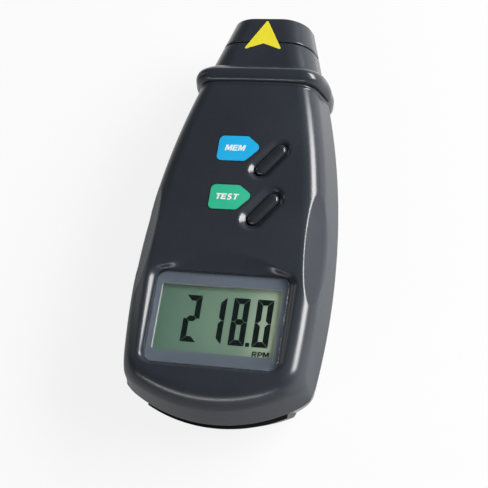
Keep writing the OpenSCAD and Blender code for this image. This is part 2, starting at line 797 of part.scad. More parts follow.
// A wire that stays in one plane: rings of points along hand-chosen points, square to the plane's normal
wire_sides = 8;
function unit(v) = v / norm(v);
function way(pts, i) =
  let (last = len(pts) - 1) i == 0 ? unit(pts[1] - pts[0])
    : i == last ? unit(pts[last] - pts[last - 1])
    : unit(unit(pts[i] - pts[i - 1]) + unit(pts[i + 1] - pts[i]));
function wire_ring(at, along, normal, r) =
  let (across = cross(along, normal))
  [for (k = [0:wire_sides - 1])
    let (a = 360 * k / wire_sides) at + r * (cos(a) * normal + sin(a) * across)];
module wire(pts, normal, r) sleeve([for (i = [0:len(pts) - 1]) wire_ring(pts[i], way(pts, i), normal, r)]);
lead_pad_y = board_y1 - 3;
lead_bend = 2;
module optics_lead(x, start) wire([
  [x, start, axis_z], [x, bracket_y0 - lead_bend, axis_z],
  [x, lead_pad_y, board_z - lead_bend], [x, lead_pad_y, board_z]
], [1, 0, 0], lead_r);
module laser_lead() color([0.7, 0.1, 0.1]) optics_lead(laser_x, bracket_y0);
module sensor_lead() color([0.2, 0.2, 0.7]) optics_lead(receiver_x, bracket_y0 + sensor_set);

module battery() color([0.25, 0.28, 0.32]) {
  across_battery(batt_x0, batt_len) rounded_rect(batt_w, batt_t, batt_r);
  for (i = [0, 1]) stud(i, batt_x0 + batt_len, stud_h, stud_r[i]);
}
// Extrudes an outline along x about the battery's axis
module across_battery(x, l)
  translate([x, batt_mid_y, batt_mid_z]) rotate([90, 0, 90]) linear_extrude(l) children();
// One of the two round terminals, along x
module stud(i, x, h, r) translate([x, batt_mid_y + (i - 0.5) * stud_pitch, batt_mid_z])
  rotate([0, 90, 0]) cylinder(h = h, r = r);

module battery_snap() color(chip_colour) difference() {
  across_battery(snap_x, snap_t) rounded_rect(batt_w - 2 * snap_margin, snap_h, batt_r);
  for (i = [0, 1]) stud(i, snap_x - over, stud_h + over, stud_r[i] + stud_play);
}

snap_face = snap_x + snap_t;
lead_out = 1.8;
lead_start_z = batt_mid_z + 2;
module battery_lead(y) wire([
  [snap_face, y, lead_start_z], [snap_face + lead_out / 2, y, lead_start_z],
  [snap_face + lead_out, y, lead_start_z + lead_bend], [snap_face + lead_out, y, roof_z],
  [lead_x, y, board_z - lead_bend / 2], [lead_x, y, board_z]
], [0, 1, 0], lead_r);
module battery_lead_red() color("firebrick") battery_lead(lead_y[0]);
module battery_lead_black() color(chip_colour) battery_lead(lead_y[1]);

// Pan-head screws driven from the back
module screw(p, head_r, head_h, r, z, len) {
  difference() {
    post(p, head_r, z - head_h, z);
    for (turn = [0, 90]) translate([p[0], p[1], z - head_h]) rotate([0, 0, turn])
      cube([2 * (head_r - slot_rim), slot_w, 2 * slot_depth], center = true);
  }
  post(p, r, z, z + len);
}
module case_screws() color(metal_colour)
  for (p = case_screw_at) screw(p, case_head_r, case_head_h, case_screw_r, case_head_z, case_screw_len);
module board_screws() color(metal_colour)
  for (p = board_screw_at) screw(p, board_head_r, board_head_h, board_screw_r, board_z, board_screw_len);

// Centres the part on y
module centred() translate([0, -length / 2, 0]) children();

centred() front_shell();
centred() rear_shell();
centred() nose_cap();
centred() sensor_window();
centred() display_lens();
centred() lcd_panel();
centred() lcd_holder();
centred() contact_strip_upper();
centred() contact_strip_lower();
centred() circuit_board();
centred() mem_key();
centred() test_key();
centred() mem_plunger();
centred() test_plunger();
centred() mem_switch();
centred() test_switch();
centred() controller_chip();
centred() crystal_can();
centred() electrolytic_capacitor();
centred() chip_resistors();
centred() optics_bracket();
centred() laser_module();
centred() receiver_lens();
centred() photo_sensor();
centred() laser_lead();
centred() sensor_lead();
centred() battery();
centred() battery_snap();
centred() battery_lead_red();
centred() battery_lead_black();
centred() battery_door();
centred() case_screws();
centred() board_screws();
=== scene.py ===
# %% [markdown]
# # A hand-held laser tachometer
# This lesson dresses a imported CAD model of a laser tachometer. The CAD frame says where every piece is and how
# it moves; here the mouldings get smooth skins, the display gets its digits, and every surface gets a finish.
# All lengths below are written in millimetres, as on a drawing, and turned into metres in one place.

# %% Load the frame
import json
import math

import bmesh
import bpy
import numpy as np
from mathutils import Matrix, Vector


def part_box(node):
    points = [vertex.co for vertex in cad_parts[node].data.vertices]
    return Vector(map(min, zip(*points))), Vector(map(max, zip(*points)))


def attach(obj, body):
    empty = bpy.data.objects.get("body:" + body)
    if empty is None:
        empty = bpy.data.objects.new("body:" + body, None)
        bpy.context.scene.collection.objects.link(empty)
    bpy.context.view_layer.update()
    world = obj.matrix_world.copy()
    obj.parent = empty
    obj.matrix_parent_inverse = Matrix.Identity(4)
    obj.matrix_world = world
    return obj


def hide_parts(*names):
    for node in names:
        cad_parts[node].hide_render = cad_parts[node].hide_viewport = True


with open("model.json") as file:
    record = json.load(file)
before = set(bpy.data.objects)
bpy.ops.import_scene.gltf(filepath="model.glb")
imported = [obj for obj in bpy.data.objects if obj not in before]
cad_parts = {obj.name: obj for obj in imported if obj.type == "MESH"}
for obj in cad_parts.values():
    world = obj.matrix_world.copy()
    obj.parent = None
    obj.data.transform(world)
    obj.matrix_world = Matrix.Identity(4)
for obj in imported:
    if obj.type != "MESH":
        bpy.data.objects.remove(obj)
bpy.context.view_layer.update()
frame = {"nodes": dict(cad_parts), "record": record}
nodes = frame["nodes"]

# %% [markdown]
# ## The drawing
# The housing is a clam shell. In plan its flanks are bowed and its bottom end is an arc; in section both halves
# lean in from the seam, so the seam is the widest place. These are the numbers of the drawing that the skins
# follow. Writing them once keeps the two halves, the door and the cap in line with each other.

# %% Numbers of the housing
LENGTH = 160.0
HALF_W, SHOULDER_HALF, BELLY_Y = 38.0, 24.2, 48.0
BODY_H, SEAM_Z, WALL = 37.0, 19.5, 2.2
EDGE_R, TOE_R, BACK_R, HEEL_R = 8.5, 8.5, 10.0, 9.0
FLANK_FLARE, END_FLARE, NOSE_FLARE = map(math.radians, (14.0, 15.5, 8.0))
BOTTOM_R, END_Y, BOW_END = 59.0, 0.5, 45.0
CORNER_RUN, CORNER_CUT = 5.0, 1.0
FACE_TOP_Y, TOE_BEND_R, FACE_BEND_R = 58.0, 600.0, 1800.0
BACK_FLAT_END, BACK_BEND_R = 100.0, 160.0
COLLAR_Y, COLLAR_HALF, COLLAR_H, COLLAR_SIDE = 134.4, 3.9, 2.3, 3.8
COLLAR_LOW, FOOT_W, FOOT_H = COLLAR_Y - COLLAR_HALF, 1.4, 0.35
TIP_W, TIP_H, NOSE_R, NOSE_TAPER, NOSE_SLOPE = 31.8, 25.0, 10.5, 0.31, 0.06
NOSE_SEAM_Y = 148.6
CROWN, SEAM_STEP, LEAST_UP = 0.5, 0.25, 0.4
SHOULDER_IN = HALF_W - SHOULDER_HALF
FLANK_R = ((COLLAR_Y - BELLY_Y) ** 2 + SHOULDER_IN ** 2) / (2 * SHOULDER_IN)
print("radius of the flanks", round(FLANK_R, 1))


# %% Curves of the plan and of the side view
def arc_drop(d, r):
    """How far an arc of radius r has fallen at the distance d from its crest."""
    return r - np.sqrt(np.maximum(r * r - d * d, 0.0))


def flank(y):
    return HALF_W - arc_drop(y - BELLY_Y, FLANK_R)


def face_height(y):
    bend = np.where(y < FACE_TOP_Y, TOE_BEND_R, FACE_BEND_R)
    return BODY_H - SEAM_Z - arc_drop(y - FACE_TOP_Y, bend)


def back_height(y):
    return SEAM_Z - arc_drop(np.maximum(0.0, y - BACK_FLAT_END), BACK_BEND_R)


def height_at(y, side):
    return float(face_height(np.float64(y)) if side > 0 else back_height(np.float64(y)))


def smooth_step(t):
    t = np.clip(t, 0.0, 1.0)
    return t * t * (3 - 2 * t)


def corner_soft(d):
    return CORNER_CUT * np.clip(1 - d / CORNER_RUN, 0, 1) ** 2


corner_w = HALF_W * 0.94  # a first guess; two rounds bring it to where flank and end meet
for _ in range(2):
    corner_w = float(flank(END_Y + arc_drop(corner_w, BOTTOM_R)))
CORNER_Y = END_Y + float(arc_drop(corner_w, BOTTOM_R))
print("corner of the bottom end at", round(corner_w, 2), round(CORNER_Y, 2))

# %% [markdown]
# ## Sections
# A section is a wall that leans in, a rounding, and a slightly crowned face. It could be drawn with curves and
# skinned by hand, but a small function gives the same section at every station, also where the body runs into
# the collar bead and the neck, and it can be asked for as many points as the light needs.


# %% Section of a half shell
def section(y, side, t=0.0, drop=0.0):
    """Width, height, rounding, lean and crown at y; t is the inset of the inner skin."""
    u = (y - COLLAR_Y) / COLLAR_HALF
    k = smooth_step(u)
    swell = 0.0 if t > 0 or abs(u) >= 1 else math.sqrt(1 - u * u)
    v = (y - COLLAR_LOW) / (FOOT_W / 2) + 1
    ridge = 0.0 if t > 0 or abs(v) >= 1 else FOOT_H * (1 - v * v)
    body_w = float(flank(y) - corner_soft(y - CORNER_Y))
    body_h = height_at(y, side)
    neck_w = TIP_W / 2 + NOSE_TAPER * (LENGTH - y)
    neck_h = TIP_H / 2 + NOSE_SLOPE * (LENGTH - y)
    flare = FLANK_FLARE + (NOSE_FLARE - FLANK_FLARE) * k
    crown = CROWN * (1 - k) if side > 0 else 0.0
    height = body_h + (neck_h - body_h) * k + COLLAR_H * swell + ridge - t - drop
    step = 0.0 if side > 0 else SEAM_STEP * (1 - k)
    width = body_w + (neck_w - body_w) * k + COLLAR_SIDE * swell + ridge - step - t / math.cos(flare)
    body_r = EDGE_R if side > 0 else BACK_R
    rounding = min(body_r + (NOSE_R - body_r) * k - t, height - crown - LEAST_UP)
    return width, height, rounding, flare, crown


def rounding_centre(s):
    w, h, r, flare, crown = s
    up = h - crown - r
    return w - r * math.cos(flare) - (up + r * math.sin(flare)) * math.tan(flare), up


def full_outline(s, n_wall, n_arc, n_face):
    """A section from seam to seam, as rows of (x, height); the left half mirrors the right one."""
    w, h, r, flare, crown = s
    flat, up = rounding_centre(s)
    foot = np.array([w, 0.0])
    top = np.array([flat + r * math.cos(flare), up + r * math.sin(flare)])
    wall = foot + (top - foot) * np.linspace(0, 1, n_wall + 1)[:-1, None]
    a = np.linspace(flare, math.pi / 2, n_arc + 1)
    arc = np.stack([flat + r * np.cos(a), up + r * np.sin(a)], -1)
    q = np.linspace(1, 0, n_face + 1)[1:]
    face = np.stack([flat * q, h - crown * q * q], -1)
    right = np.concatenate([wall, arc, face])
    return np.concatenate([right, right[:-1][::-1] * np.array([-1.0, 1.0])])


print("belly section", np.round(section(BELLY_Y, 1), 2))

# %% [markdown]
# ## Stations
# The skin of a half shell is a grid: sections across, stations along. The bottom end rolls over in an arc, so
# there the sections sink towards the seam while their stations crowd together, and each point is pulled down by
# the bow of the end. Stations lie closer where the bead curves than along the straight body.

# %% Stations and grids
BEAD_TRIM, BEAD_TRIM_H = 1.5, 7.0
FOOT_ROWS, APART = 8, 0.01


def end_run(h, r):
    return (h - r + r * math.sin(END_FLARE)) * math.tan(END_FLARE) + r * math.cos(END_FLARE)


def end_size(side):
    return height_at(CORNER_Y, side), (TOE_R if side > 0 else HEEL_R)


def end_stop(side):
    return CORNER_Y + end_run(*end_size(side))


def bow(x, y):
    u = np.minimum(np.abs(x), corner_w)
    pull = arc_drop(corner_w, BOTTOM_R) - arc_drop(u, BOTTOM_R) - corner_soft(corner_w - u)
    return pull * np.clip((BOW_END - y) / (BOW_END - end_stop(-1)), 0, 1)


def stations(side, t, out, y_last, n_end, step, n_collar, n_foot):
    """Rows of (y, drop, lift): lift 0 is the foot on the seam, 1 the section itself."""
    h, r = end_size(side)
    foot = CORNER_Y + t / math.cos(END_FLARE)
    r, h = r - t, h - t
    stop = foot + end_run(h, r)
    first = stop - r * math.cos(END_FLARE) - out
    rows = [(foot - out + (first - foot + out) * i / n_foot, r * (1 - math.sin(END_FLARE)), i / n_foot)
            for i in range(n_foot)]
    for i in range(n_end + 1):
        a = END_FLARE + (math.pi / 2 - END_FLARE) * i / n_end
        rows.append((stop - r * math.cos(a) - out * (1 - i / n_end), r * (1 - math.sin(a)), 1.0))
    low = min(COLLAR_LOW - FOOT_W, y_last)
    n = max(2, int(math.ceil((low - stop) / step)))
    plain = [stop + (low - stop) * i / n for i in range(1, n + 1)]
    if y_last > low:
        plain += [low + (FOOT_W - APART) * i / FOOT_ROWS for i in range(1, FOOT_ROWS + 1)]
        plain += [COLLAR_Y - COLLAR_HALF * math.cos(math.pi * i / n_collar) for i in range(n_collar + 1)]
        high = COLLAR_Y + COLLAR_HALF
        n = max(2, int(math.ceil((y_last - high) / (2 * step))))
        plain += [high + (y_last - high) * i / n for i in range(1, n + 1)]
    return rows + [(y, 0.0, 1.0) for y in plain]


def bead_soft(y, z):
    """The bead is rounded where it crosses the seam."""
    u = (y - COLLAR_Y) / COLLAR_HALF
    return BEAD_TRIM * math.sqrt(max(0.0, 1 - u * u)) * np.clip(1 - z / BEAD_TRIM_H, 0, 1) ** 2


def skin(side, t, y_last, along, around, out=0.0):
    """Grid of a half shell. along: end rows, step, bead rows, foot rows; around: wall, rounding, face points."""
    grid = []
    for y, drop, lift in stations(side, t, out, y_last, *along):
        p = full_outline(section(y, side, t, drop), *around)
        x, z = p[:, 0], p[:, 1] * lift
        if t == 0:
            x = x - np.sign(x) * bead_soft(y, z)
        grid.append(np.stack([side * x, y - bow(x, y), SEAM_Z + side * z], -1))
    return np.array(grid)


print("flat of the face starts", round(end_stop(1), 2), "flat of the back", round(end_stop(-1), 2))

# %% [markdown]
# ## From grids to meshes
# Numbers become a Blender mesh with `from_pydata`. A shell is an outer grid and a coarser inner grid whose rims
# are zipped together, so it is a closed solid with a real wall. Shading is smooth, and a crease is kept only
# where two faces meet at more than a given angle, which is what a moulded edge looks like.

# %% Meshes from points
MM = 0.001
CREASE = 32.0


def to_metres(p):
    p = np.asarray(p, float).reshape(-1, 3)
    return (p - np.array([0.0, LENGTH / 2, 0.0])) * MM


def soften(obj, crease):
    obj.data.shade_smooth()
    obj.data.set_sharp_from_angle(angle=math.radians(crease))


def mesh_object(name, points, faces, crease=CREASE):
    mesh = bpy.data.meshes.new(name)
    mesh.from_pydata(to_metres(points).tolist(), [], faces)
    mesh.validate()
    bm = bmesh.new()
    bm.from_mesh(mesh)
    bmesh.ops.recalc_face_normals(bm, faces=bm.faces)
    bm.to_mesh(mesh)
    bm.free()
    obj = bpy.data.objects.new(name, mesh)
    bpy.context.scene.collection.objects.link(obj)
    soften(obj, crease)
    return obj


def grid_faces(rows, cols, start=0, closed=False):
    faces = []
    for i in range(rows - 1):
        for j in range(cols if closed else cols - 1):
            a = start + i * cols + j
            b = start + i * cols + (j + 1) % cols
            faces.append((a, b, b + cols, a + cols))
    return faces


def stack(name, rings):
    """A closed skin through a stack of loops, with flat ends."""
    pts = np.array(rings)
    k, n = pts.shape[:2]
    faces = grid_faces(k, n, closed=True) + [tuple(range(n)), tuple(range((k - 1) * n, k * n))]
    return mesh_object(name, pts, faces)


def plates(name, outlines, z0, z1, crease=CREASE):
    """Upright plates over plan outlines, in one mesh."""
    pts, faces = [], []
    for line in outlines:
        s, n = len(pts), len(line)
        pts += [(x, y, z0) for x, y in line] + [(x, y, z1) for x, y in line]
        faces += [tuple(range(s, s + n)), tuple(range(s + n, s + 2 * n))]
        faces += [(s + i, s + (i + 1) % n, s + n + (i + 1) % n, s + n + i) for i in range(n)]
    return mesh_object(name, np.array(pts, float), faces, crease)


print("a grid of 3 by 4 points has", len(grid_faces(3, 4)), "faces, a closed one",
      len(grid_faces(3, 4, closed=True)))


# %% Closed shells
def zip_rims(fine, coarse):
    """Faces between two rims with a different number of points that run the same way."""
    faces, i, j = [], 0, 0
    while i < len(fine) - 1 or j < len(coarse) - 1:
        ahead = (i + 1) * max(1, len(coarse) - 1) <= (j + 1) * max(1, len(fine) - 1)
        if j == len(coarse) - 1 or (ahead and i < len(fine) - 1):
            faces.append((fine[i], fine[i + 1], coarse[j]))
            i += 1
        else:
            faces.append((fine[i], coarse[j + 1], coarse[j]))
            j += 1
    return faces


def rims(rows, cols, base=0):
    first, last = base, base + (rows - 1) * cols
    return [[first + i * cols for i in range(rows)], [first + i * cols + cols - 1 for i in range(rows)],
            list(range(first, first + cols)), list(range(last, last + cols))]


def closed_shell(name, outer, inner, crease=CREASE):
    size_o, size_i = outer.shape[:2], inner.shape[:2]
    base = size_o[0] * size_o[1]
    faces = grid_faces(*size_o) + [f[::-1] for f in grid_faces(*size_i, base)]
    for a, b in zip(rims(*size_o), rims(*size_i, base)):
        faces += zip_rims(a, b)
    points = np.concatenate([outer.reshape(-1, 3), inner.reshape(-1, 3)])
    return mesh_object(name, points, faces, crease)


print("rims of 9 and 4 points are zipped by", len(zip_rims(range(9), range(4))), "triangles")

# %% Cutting and mending
SAME_POINT = 1e-7


def cut(target, tool, operation="DIFFERENCE", crease=CREASE):
    """Applies a Boolean and throws the tool away."""
    mod = target.modifiers.new("cut", "BOOLEAN")
    mod.object = tool
    mod.operation = operation
    mod.solver = "EXACT"
    bpy.context.view_layer.update()
    deps = bpy.context.evaluated_depsgraph_get()
    mesh = bpy.data.meshes.new_from_object(target.evaluated_get(deps))
    target.modifiers.clear()
    old = target.data
    target.data = mesh
    mesh.name = target.name
    bpy.data.meshes.remove(old)
    bpy.data.objects.remove(tool)
    soften(target, crease)


def mend(obj):
    """Joins points that coincide, drops doubled faces and closes pinholes, so that the skin is closed."""
    bm = bmesh.new()
    bm.from_mesh(obj.data)
    bmesh.ops.remove_doubles(bm, verts=bm.verts, dist=SAME_POINT)
    same = {}
    for face in bm.faces:
        same.setdefault(frozenset(v.index for v in face.verts), []).append(face)
    doubled = [face for faces in same.values() if len(faces) > 1 for face in faces]
    bmesh.ops.delete(bm, geom=doubled, context="FACES")
    pinholes = [e for e in bm.edges if e.is_boundary]
    bmesh.ops.holes_fill(bm, edges=pinholes, sides=0)
    bm.to_mesh(obj.data)
    bm.free()
    print(obj.name, "doubled faces", len(doubled), "open edges", len(pinholes))


def tool(outline, z0, z1):
    """An upright prism to cut with."""
    return plates("tool", [outline], z0, z1)


def rounded_box(w, l, r, at=(0.0, 0.0), n=10):
    pts = []
    for k, (sx, sy) in enumerate([(1, 1), (-1, 1), (-1, -1), (1, -1)]):
        for i in range(n + 1):
            a = math.pi / 2 * (k + i / n)
            pts.append((at[0] + sx * (w / 2 - r) + r * math.cos(a), at[1] + sy * (l / 2 - r) + r * math.sin(a)))
    return pts


def stadium(l, w, at, angle, n=16):
    pts = []
    half = (l - w) / 2
    for end in (1, -1):
        for i in range(n + 1):
            a = math.pi * i / n - math.pi / 2 + (0 if end > 0 else math.pi)
            pts.append((end * half + w / 2 * math.cos(a), w / 2 * math.sin(a)))
    c, s = math.cos(angle), math.sin(angle)
    return [(at[0] + x * c - y * s, at[1] + x * s + y * c) for x, y in pts]


print("plan of a stadium has", len(stadium(3.0, 1.0, (0, 0), 0.0)), "points, of a rounded box",
      len(rounded_box(3.0, 2.0, 0.5)))

# %% [markdown]
# ## Front shell
# On the real piece the display lies in a scoop under an arched hood, each key in a dished well, and a shallow
# thumb scallop is ground into each shoulder. Cutting them with Booleans would leave knife edges, and the real
# edges are soft. Because the shell leans in from its seam, each point of it has one height above the plan, so
# the scoop and the wells are blended in as heights with a soft minimum, and the scallop pushes points out onto a
# large ball. Only the pocket of the lens and the openings are cut, a little wider than what lies in them, so that
# a dark groove shows all round.

# %% Heights of the scoop and the wells
LENS_W, LENS_LEN, LENS_Y, LENS_Z, LENS_CORNER, LENS_T = 50.2, 34.3, 35.75, 34.6, 3.3, 1.6
VIEW_W, VIEW_LEN, VIEW_CORNER = 45.7, 25.3, 1.2
SCOOP_PLAY, SCOOP_CORNER = 0.7, LENS_CORNER + 0.8
HOOD_TOP, HOOD_R = LENS_Y + LENS_LEN / 2 + 7.4, 47.4
SIDE_RUN, CHIN_RUN, LEAST_ARCH, LEAST_RUN = 3.1, 1.1, 1.0, 0.8
KEY_X, TEST_Y, MEM_Y, KEY_LEN, KEY_W = 11.1, 78.4, 98.2, 15.0, 4.8
KEY_TURN = math.radians(52)
WELL_Z, WELL_HALF, WELL_SLOPE = 35.0, 2.8, 0.8
SCOOP_SOFT, WELL_SOFT, RISE_SOFT = 0.4, 0.5, 0.2
CARVE_ABOVE = 30.0


def soft_min(a, b, k):
    h = np.clip(0.5 + 0.5 * (b - a) / k, 0, 1)
    return b + (a - b) * h - k * h * (1 - h)


def soft_max(a, b, k):
    return -soft_min(-a, -b, k)


def scoop_height(x, y):
    half_w, half_l, r = LENS_W / 2 + SCOOP_PLAY, LENS_LEN / 2 + SCOOP_PLAY, SCOOP_CORNER
    qx, qy = np.abs(x) - half_w + r, np.abs(y - LENS_Y) - half_l + r
    ox, oy = np.maximum(qx, 0), np.maximum(qy, 0)
    far = np.hypot(ox, oy)
    d = far + np.minimum(np.maximum(qx, qy), 0) - r
    arch = HOOD_TOP - HOOD_R + np.sqrt(np.maximum(HOOD_R ** 2 - x * x, 1.0)) - LENS_Y - half_l
    ends = np.where(y > LENS_Y, np.maximum(arch, LEAST_ARCH), CHIN_RUN)
    run = (SIDE_RUN * ox ** 2 + ends * oy ** 2) / np.maximum(far, 1e-6) ** 2
    rise = d / np.maximum(run, LEAST_RUN)
    return LENS_Z + (BODY_H - LENS_Z) * soft_max(rise, np.zeros_like(rise), RISE_SOFT)


def well_height(x, y, key_y):
    dx, dy = x - KEY_X, y - key_y
    along = dx * math.cos(KEY_TURN) + dy * math.sin(KEY_TURN)
    across_key = -dx * math.sin(KEY_TURN) + dy * math.cos(KEY_TURN)
    half = (KEY_LEN - KEY_W) / 2
    d = np.hypot(along - np.clip(along, -half, half), across_key)
    return WELL_Z + np.maximum(d - WELL_HALF, 0) * WELL_SLOPE


def carve(p):
    x, y = p[..., 0], p[..., 1]
    z = soft_min(p[..., 2], scoop_height(x, y), SCOOP_SOFT)
    for key_y in (TEST_Y, MEM_Y):
        z = soft_min(z, well_height(x, y, key_y), WELL_SOFT)
    p[..., 2] = np.where(p[..., 2] > CARVE_ABOVE, z, p[..., 2])
    return p


print("scoop floor", round(float(scoop_height(np.float64(0.0), np.float64(LENS_Y))), 2), "well floor", WELL_Z)

# %% Thumb scallops
SCALLOP_Y, SCALLOP_R, SCALLOP_DEPTH, SCALLOP_TILT = 78.9, 300.0, 0.85, math.radians(41)


def thumb_scallop(p, side):
    s = section(SCALLOP_Y, 1)
    flat, up = rounding_centre(s)
    reach = s[2] + SCALLOP_R - SCALLOP_DEPTH
    c = np.array([side * (flat + reach * math.cos(SCALLOP_TILT)), SCALLOP_Y,
                  SEAM_Z + up + reach * math.sin(SCALLOP_TILT)])
    d = np.linalg.norm(p - c, axis=-1, keepdims=True)
    return np.where(d < SCALLOP_R, c + (p - c) * (SCALLOP_R / d), p)


print("scallop depth", SCALLOP_DEPTH, "mm on a ball of", SCALLOP_R, "mm")

# %% Build the front shell
SOFT_CREASE = 62.0
DISPLAY_FROM, DISPLAY_TO, DISPLAY_HALF = 14.5, 62.5, 29.5
KEYS_HALF_LEN, KEYS_HALF_W, LOW_CEILING = 22.0, 13.0, 31.6
OVER_FACE, UNDER_FACE = 45.0, 28.0
POCKET_PLAY, POCKET_CORNER, SHELF_PLAY, SHELF_CORNER, KEY_PLAY = 0.8, LENS_CORNER + 0.25, 1.0, 1.5, 0.6

outer = carve(skin(1, 0.0, NOSE_SEAM_Y, (26, 0.42, 44, 8), (8, 20, 90)))
for side in (-1, 1):
    outer = thumb_scallop(outer, side)
inner = skin(1, WALL, NOSE_SEAM_Y, (8, 2.5, 8, 2), (2, 6, 14))
xi, yi = inner[..., 0], inner[..., 1]
under_display = (yi > DISPLAY_FROM) & (yi < DISPLAY_TO) & (np.abs(xi) < DISPLAY_HALF)
under_keys = (np.abs(yi - (TEST_Y + MEM_Y) / 2) < KEYS_HALF_LEN) & (np.abs(xi - KEY_X) < KEYS_HALF_W)
inner[..., 2] = np.where(under_display | under_keys, np.minimum(inner[..., 2], LOW_CEILING), inner[..., 2])
front = closed_shell("front_shell_skin", outer, inner, SOFT_CREASE)
pocket = rounded_box(LENS_W + POCKET_PLAY, LENS_LEN + POCKET_PLAY, POCKET_CORNER, (0, LENS_Y))
view = rounded_box(VIEW_W + SHELF_PLAY, VIEW_LEN + SHELF_PLAY, SHELF_CORNER, (0, LENS_Y))
cut(front, tool(pocket, LENS_Z - LENS_T, OVER_FACE), crease=SOFT_CREASE)
cut(front, tool(view, UNDER_FACE, OVER_FACE), crease=SOFT_CREASE)
for key_y in (TEST_Y, MEM_Y):
    slot = stadium(KEY_LEN + KEY_PLAY, KEY_W + KEY_PLAY, (KEY_X, key_y), KEY_TURN)
    cut(front, tool(slot, UNDER_FACE, OVER_FACE), crease=SOFT_CREASE)
mend(front)
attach(front, "case")
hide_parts("front_shell")
print("front shell", len(front.data.polygons), "faces")

# %% [markdown]
# ## Rear shell
# The rear half is the same section the other way up, set in a hair at the seam, so that the front's rim shows as
# a fine line. It has the opening for the battery door and four counterbores for the case screws. Those edges are
# crisp on the real moulding, so here Booleans are the right tool.

# %% Build the rear shell
DOOR_HALF, DOOR_TOP, DOOR_STEP, TONGUE, DOOR_END_H, DOOR_PROUD = 26.5, 48.5, 19.0, 1.2, 16.0, 1.5
GAP = 0.15
DOOR_NECK = DOOR_HALF - TONGUE
UNDER_BACK, PAST_END, LEAF_FROM, LEAF_CUT_TOP, LIP_T = -1.0, -5.0, 10.0, 4.0, 0.95
CASE_SCREWS = [(-26.5, 66.0), (26.5, 66.0), (-17.0, 115.5), (17.0, 115.5)]
TOWER_D, TOWER_SINK, HEAD_D, SHANK_D, HEAD_SEAT, UNDER_SCREW = 7.2, WALL * 0.8, 5.3, 2.9, 13.0, -2.0


def slab(x0, x1, y0, y1, z0, z1):
    return tool([(x0, y0), (x1, y0), (x1, y1), (x0, y1)], z0, z1)


def disc(d, at):
    return stadium(d, d - 0.001, at, 0.0)


outer = skin(-1, 0.0, NOSE_SEAM_Y, (20, 1.2, 36, 5), (6, 18, 14))
inner = skin(-1, WALL, NOSE_SEAM_Y, (8, 2.5, 8, 2), (2, 8, 6))
rear = closed_shell("rear_shell_skin", outer, inner)
for at in CASE_SCREWS:
    foot = SEAM_Z - height_at(at[1], -1) + TOWER_SINK
    cut(rear, tool(disc(TOWER_D, at), foot, SEAM_Z - 0.02), "UNION")
cut(rear, slab(-DOOR_HALF - GAP, DOOR_HALF + GAP, PAST_END, DOOR_STEP + GAP, UNDER_BACK, DOOR_END_H + GAP))
cut(rear, slab(-DOOR_NECK - GAP, DOOR_NECK + GAP, LEAF_FROM, DOOR_TOP + GAP, UNDER_BACK, LEAF_CUT_TOP))
cut(rear, slab(-DOOR_HALF - GAP, DOOR_HALF + GAP, LEAF_FROM, DOOR_TOP + GAP, LIP_T, LEAF_CUT_TOP))
for at in CASE_SCREWS:
    cut(rear, tool(disc(HEAD_D, at), UNDER_SCREW, HEAD_SEAT))
    cut(rear, tool(disc(SHANK_D, at), UNDER_SCREW, SEAM_Z + 1))
mend(rear)
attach(rear, "case")
print("rear shell", len(rear.data.polygons), "faces")

# %% [markdown]
# ## Battery compartment
# With the door slid off, one looks into the compartment: two side walls, an end wall and a roof with an opening
# for the leads. They are part of the rear moulding, so they ride with it and replace the same CAD piece.

# %% Build the compartment
BOX_HALF, BOX_WALL, BOX_Y0, BOX_Y1, BOX_Z0, ROOF_Z, ROOF_T = 28.4, 1.5, 19.0, 46.7, 3.0, 20.1, 1.2
LEADS_X, LEADS_Y0, LEADS_Y1 = 22.2, 25.2, 39.3
BOX_OUT, BOX_END = BOX_HALF + BOX_WALL, BOX_Y1 + BOX_WALL
box_plan = [(-BOX_OUT, BOX_Y0), (BOX_OUT, BOX_Y0), (BOX_OUT, BOX_END), (-BOX_OUT, BOX_END)]
compartment = plates("battery_compartment", [box_plan], BOX_Z0, ROOF_Z + ROOF_T)
cut(compartment, slab(-BOX_HALF, BOX_HALF, BOX_Y0 - 1, BOX_Y1, 0, ROOF_Z))
cut(compartment, slab(LEADS_X, BOX_HALF, LEADS_Y0, LEADS_Y1, ROOF_Z - 1, ROOF_Z + 3))
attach(compartment, "case")
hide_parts("rear_shell")
print("compartment", len(compartment.data.polygons), "faces")

# %% [markdown]
# ## Battery door
# The door continues the rear shell around the bottom end, where it stands a little proud: that is the black band
# along the lower edge of the photo. It is cut out of the same skin with the door's plan, and gets its tongues and
# a field of grip grooves for the thumb.

# %% Build the door
DOOR_LAST = DOOR_TOP + 8
TONGUE_Z = 1.1
GRIP_N, GRIP_Y, GRIP_PITCH, GRIP_LEN, GRIP_W, GRIP_DEPTH = 6, 24.55, 2.2, 18.0, 1.1, 0.5
outer = skin(-1, 0.0, DOOR_LAST, (24, 1.2, 8, 5), (6, 18, 20), DOOR_PROUD)
inner = skin(-1, WALL, DOOR_LAST, (10, 2.0, 8, 2), (2, 8, 8))
door = closed_shell("battery_door_skin", outer, inner)
right_edge = [(DOOR_HALF, PAST_END), (DOOR_HALF, DOOR_STEP), (DOOR_NECK, DOOR_STEP), (DOOR_NECK, DOOR_TOP)]
left_edge = [(-x, y) for x, y in right_edge[::-1]]
cut(door, tool(left_edge[-1:] + right_edge + left_edge[:-1], -3, DOOR_END_H), "INTERSECT")
cut(door, slab(-DOOR_HALF, DOOR_HALF, DOOR_STEP - 1, DOOR_TOP - 1, TONGUE_Z, WALL), "UNION")
for i in range(GRIP_N):
    groove = stadium(GRIP_LEN, GRIP_W, (0, GRIP_Y + GRIP_PITCH * i), 0.0, 8)
    cut(door, tool(groove, UNDER_BACK, GRIP_DEPTH))
mend(door)
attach(door, "battery_door")
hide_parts("battery_door")
print("door", len(door.data.polygons), "faces")

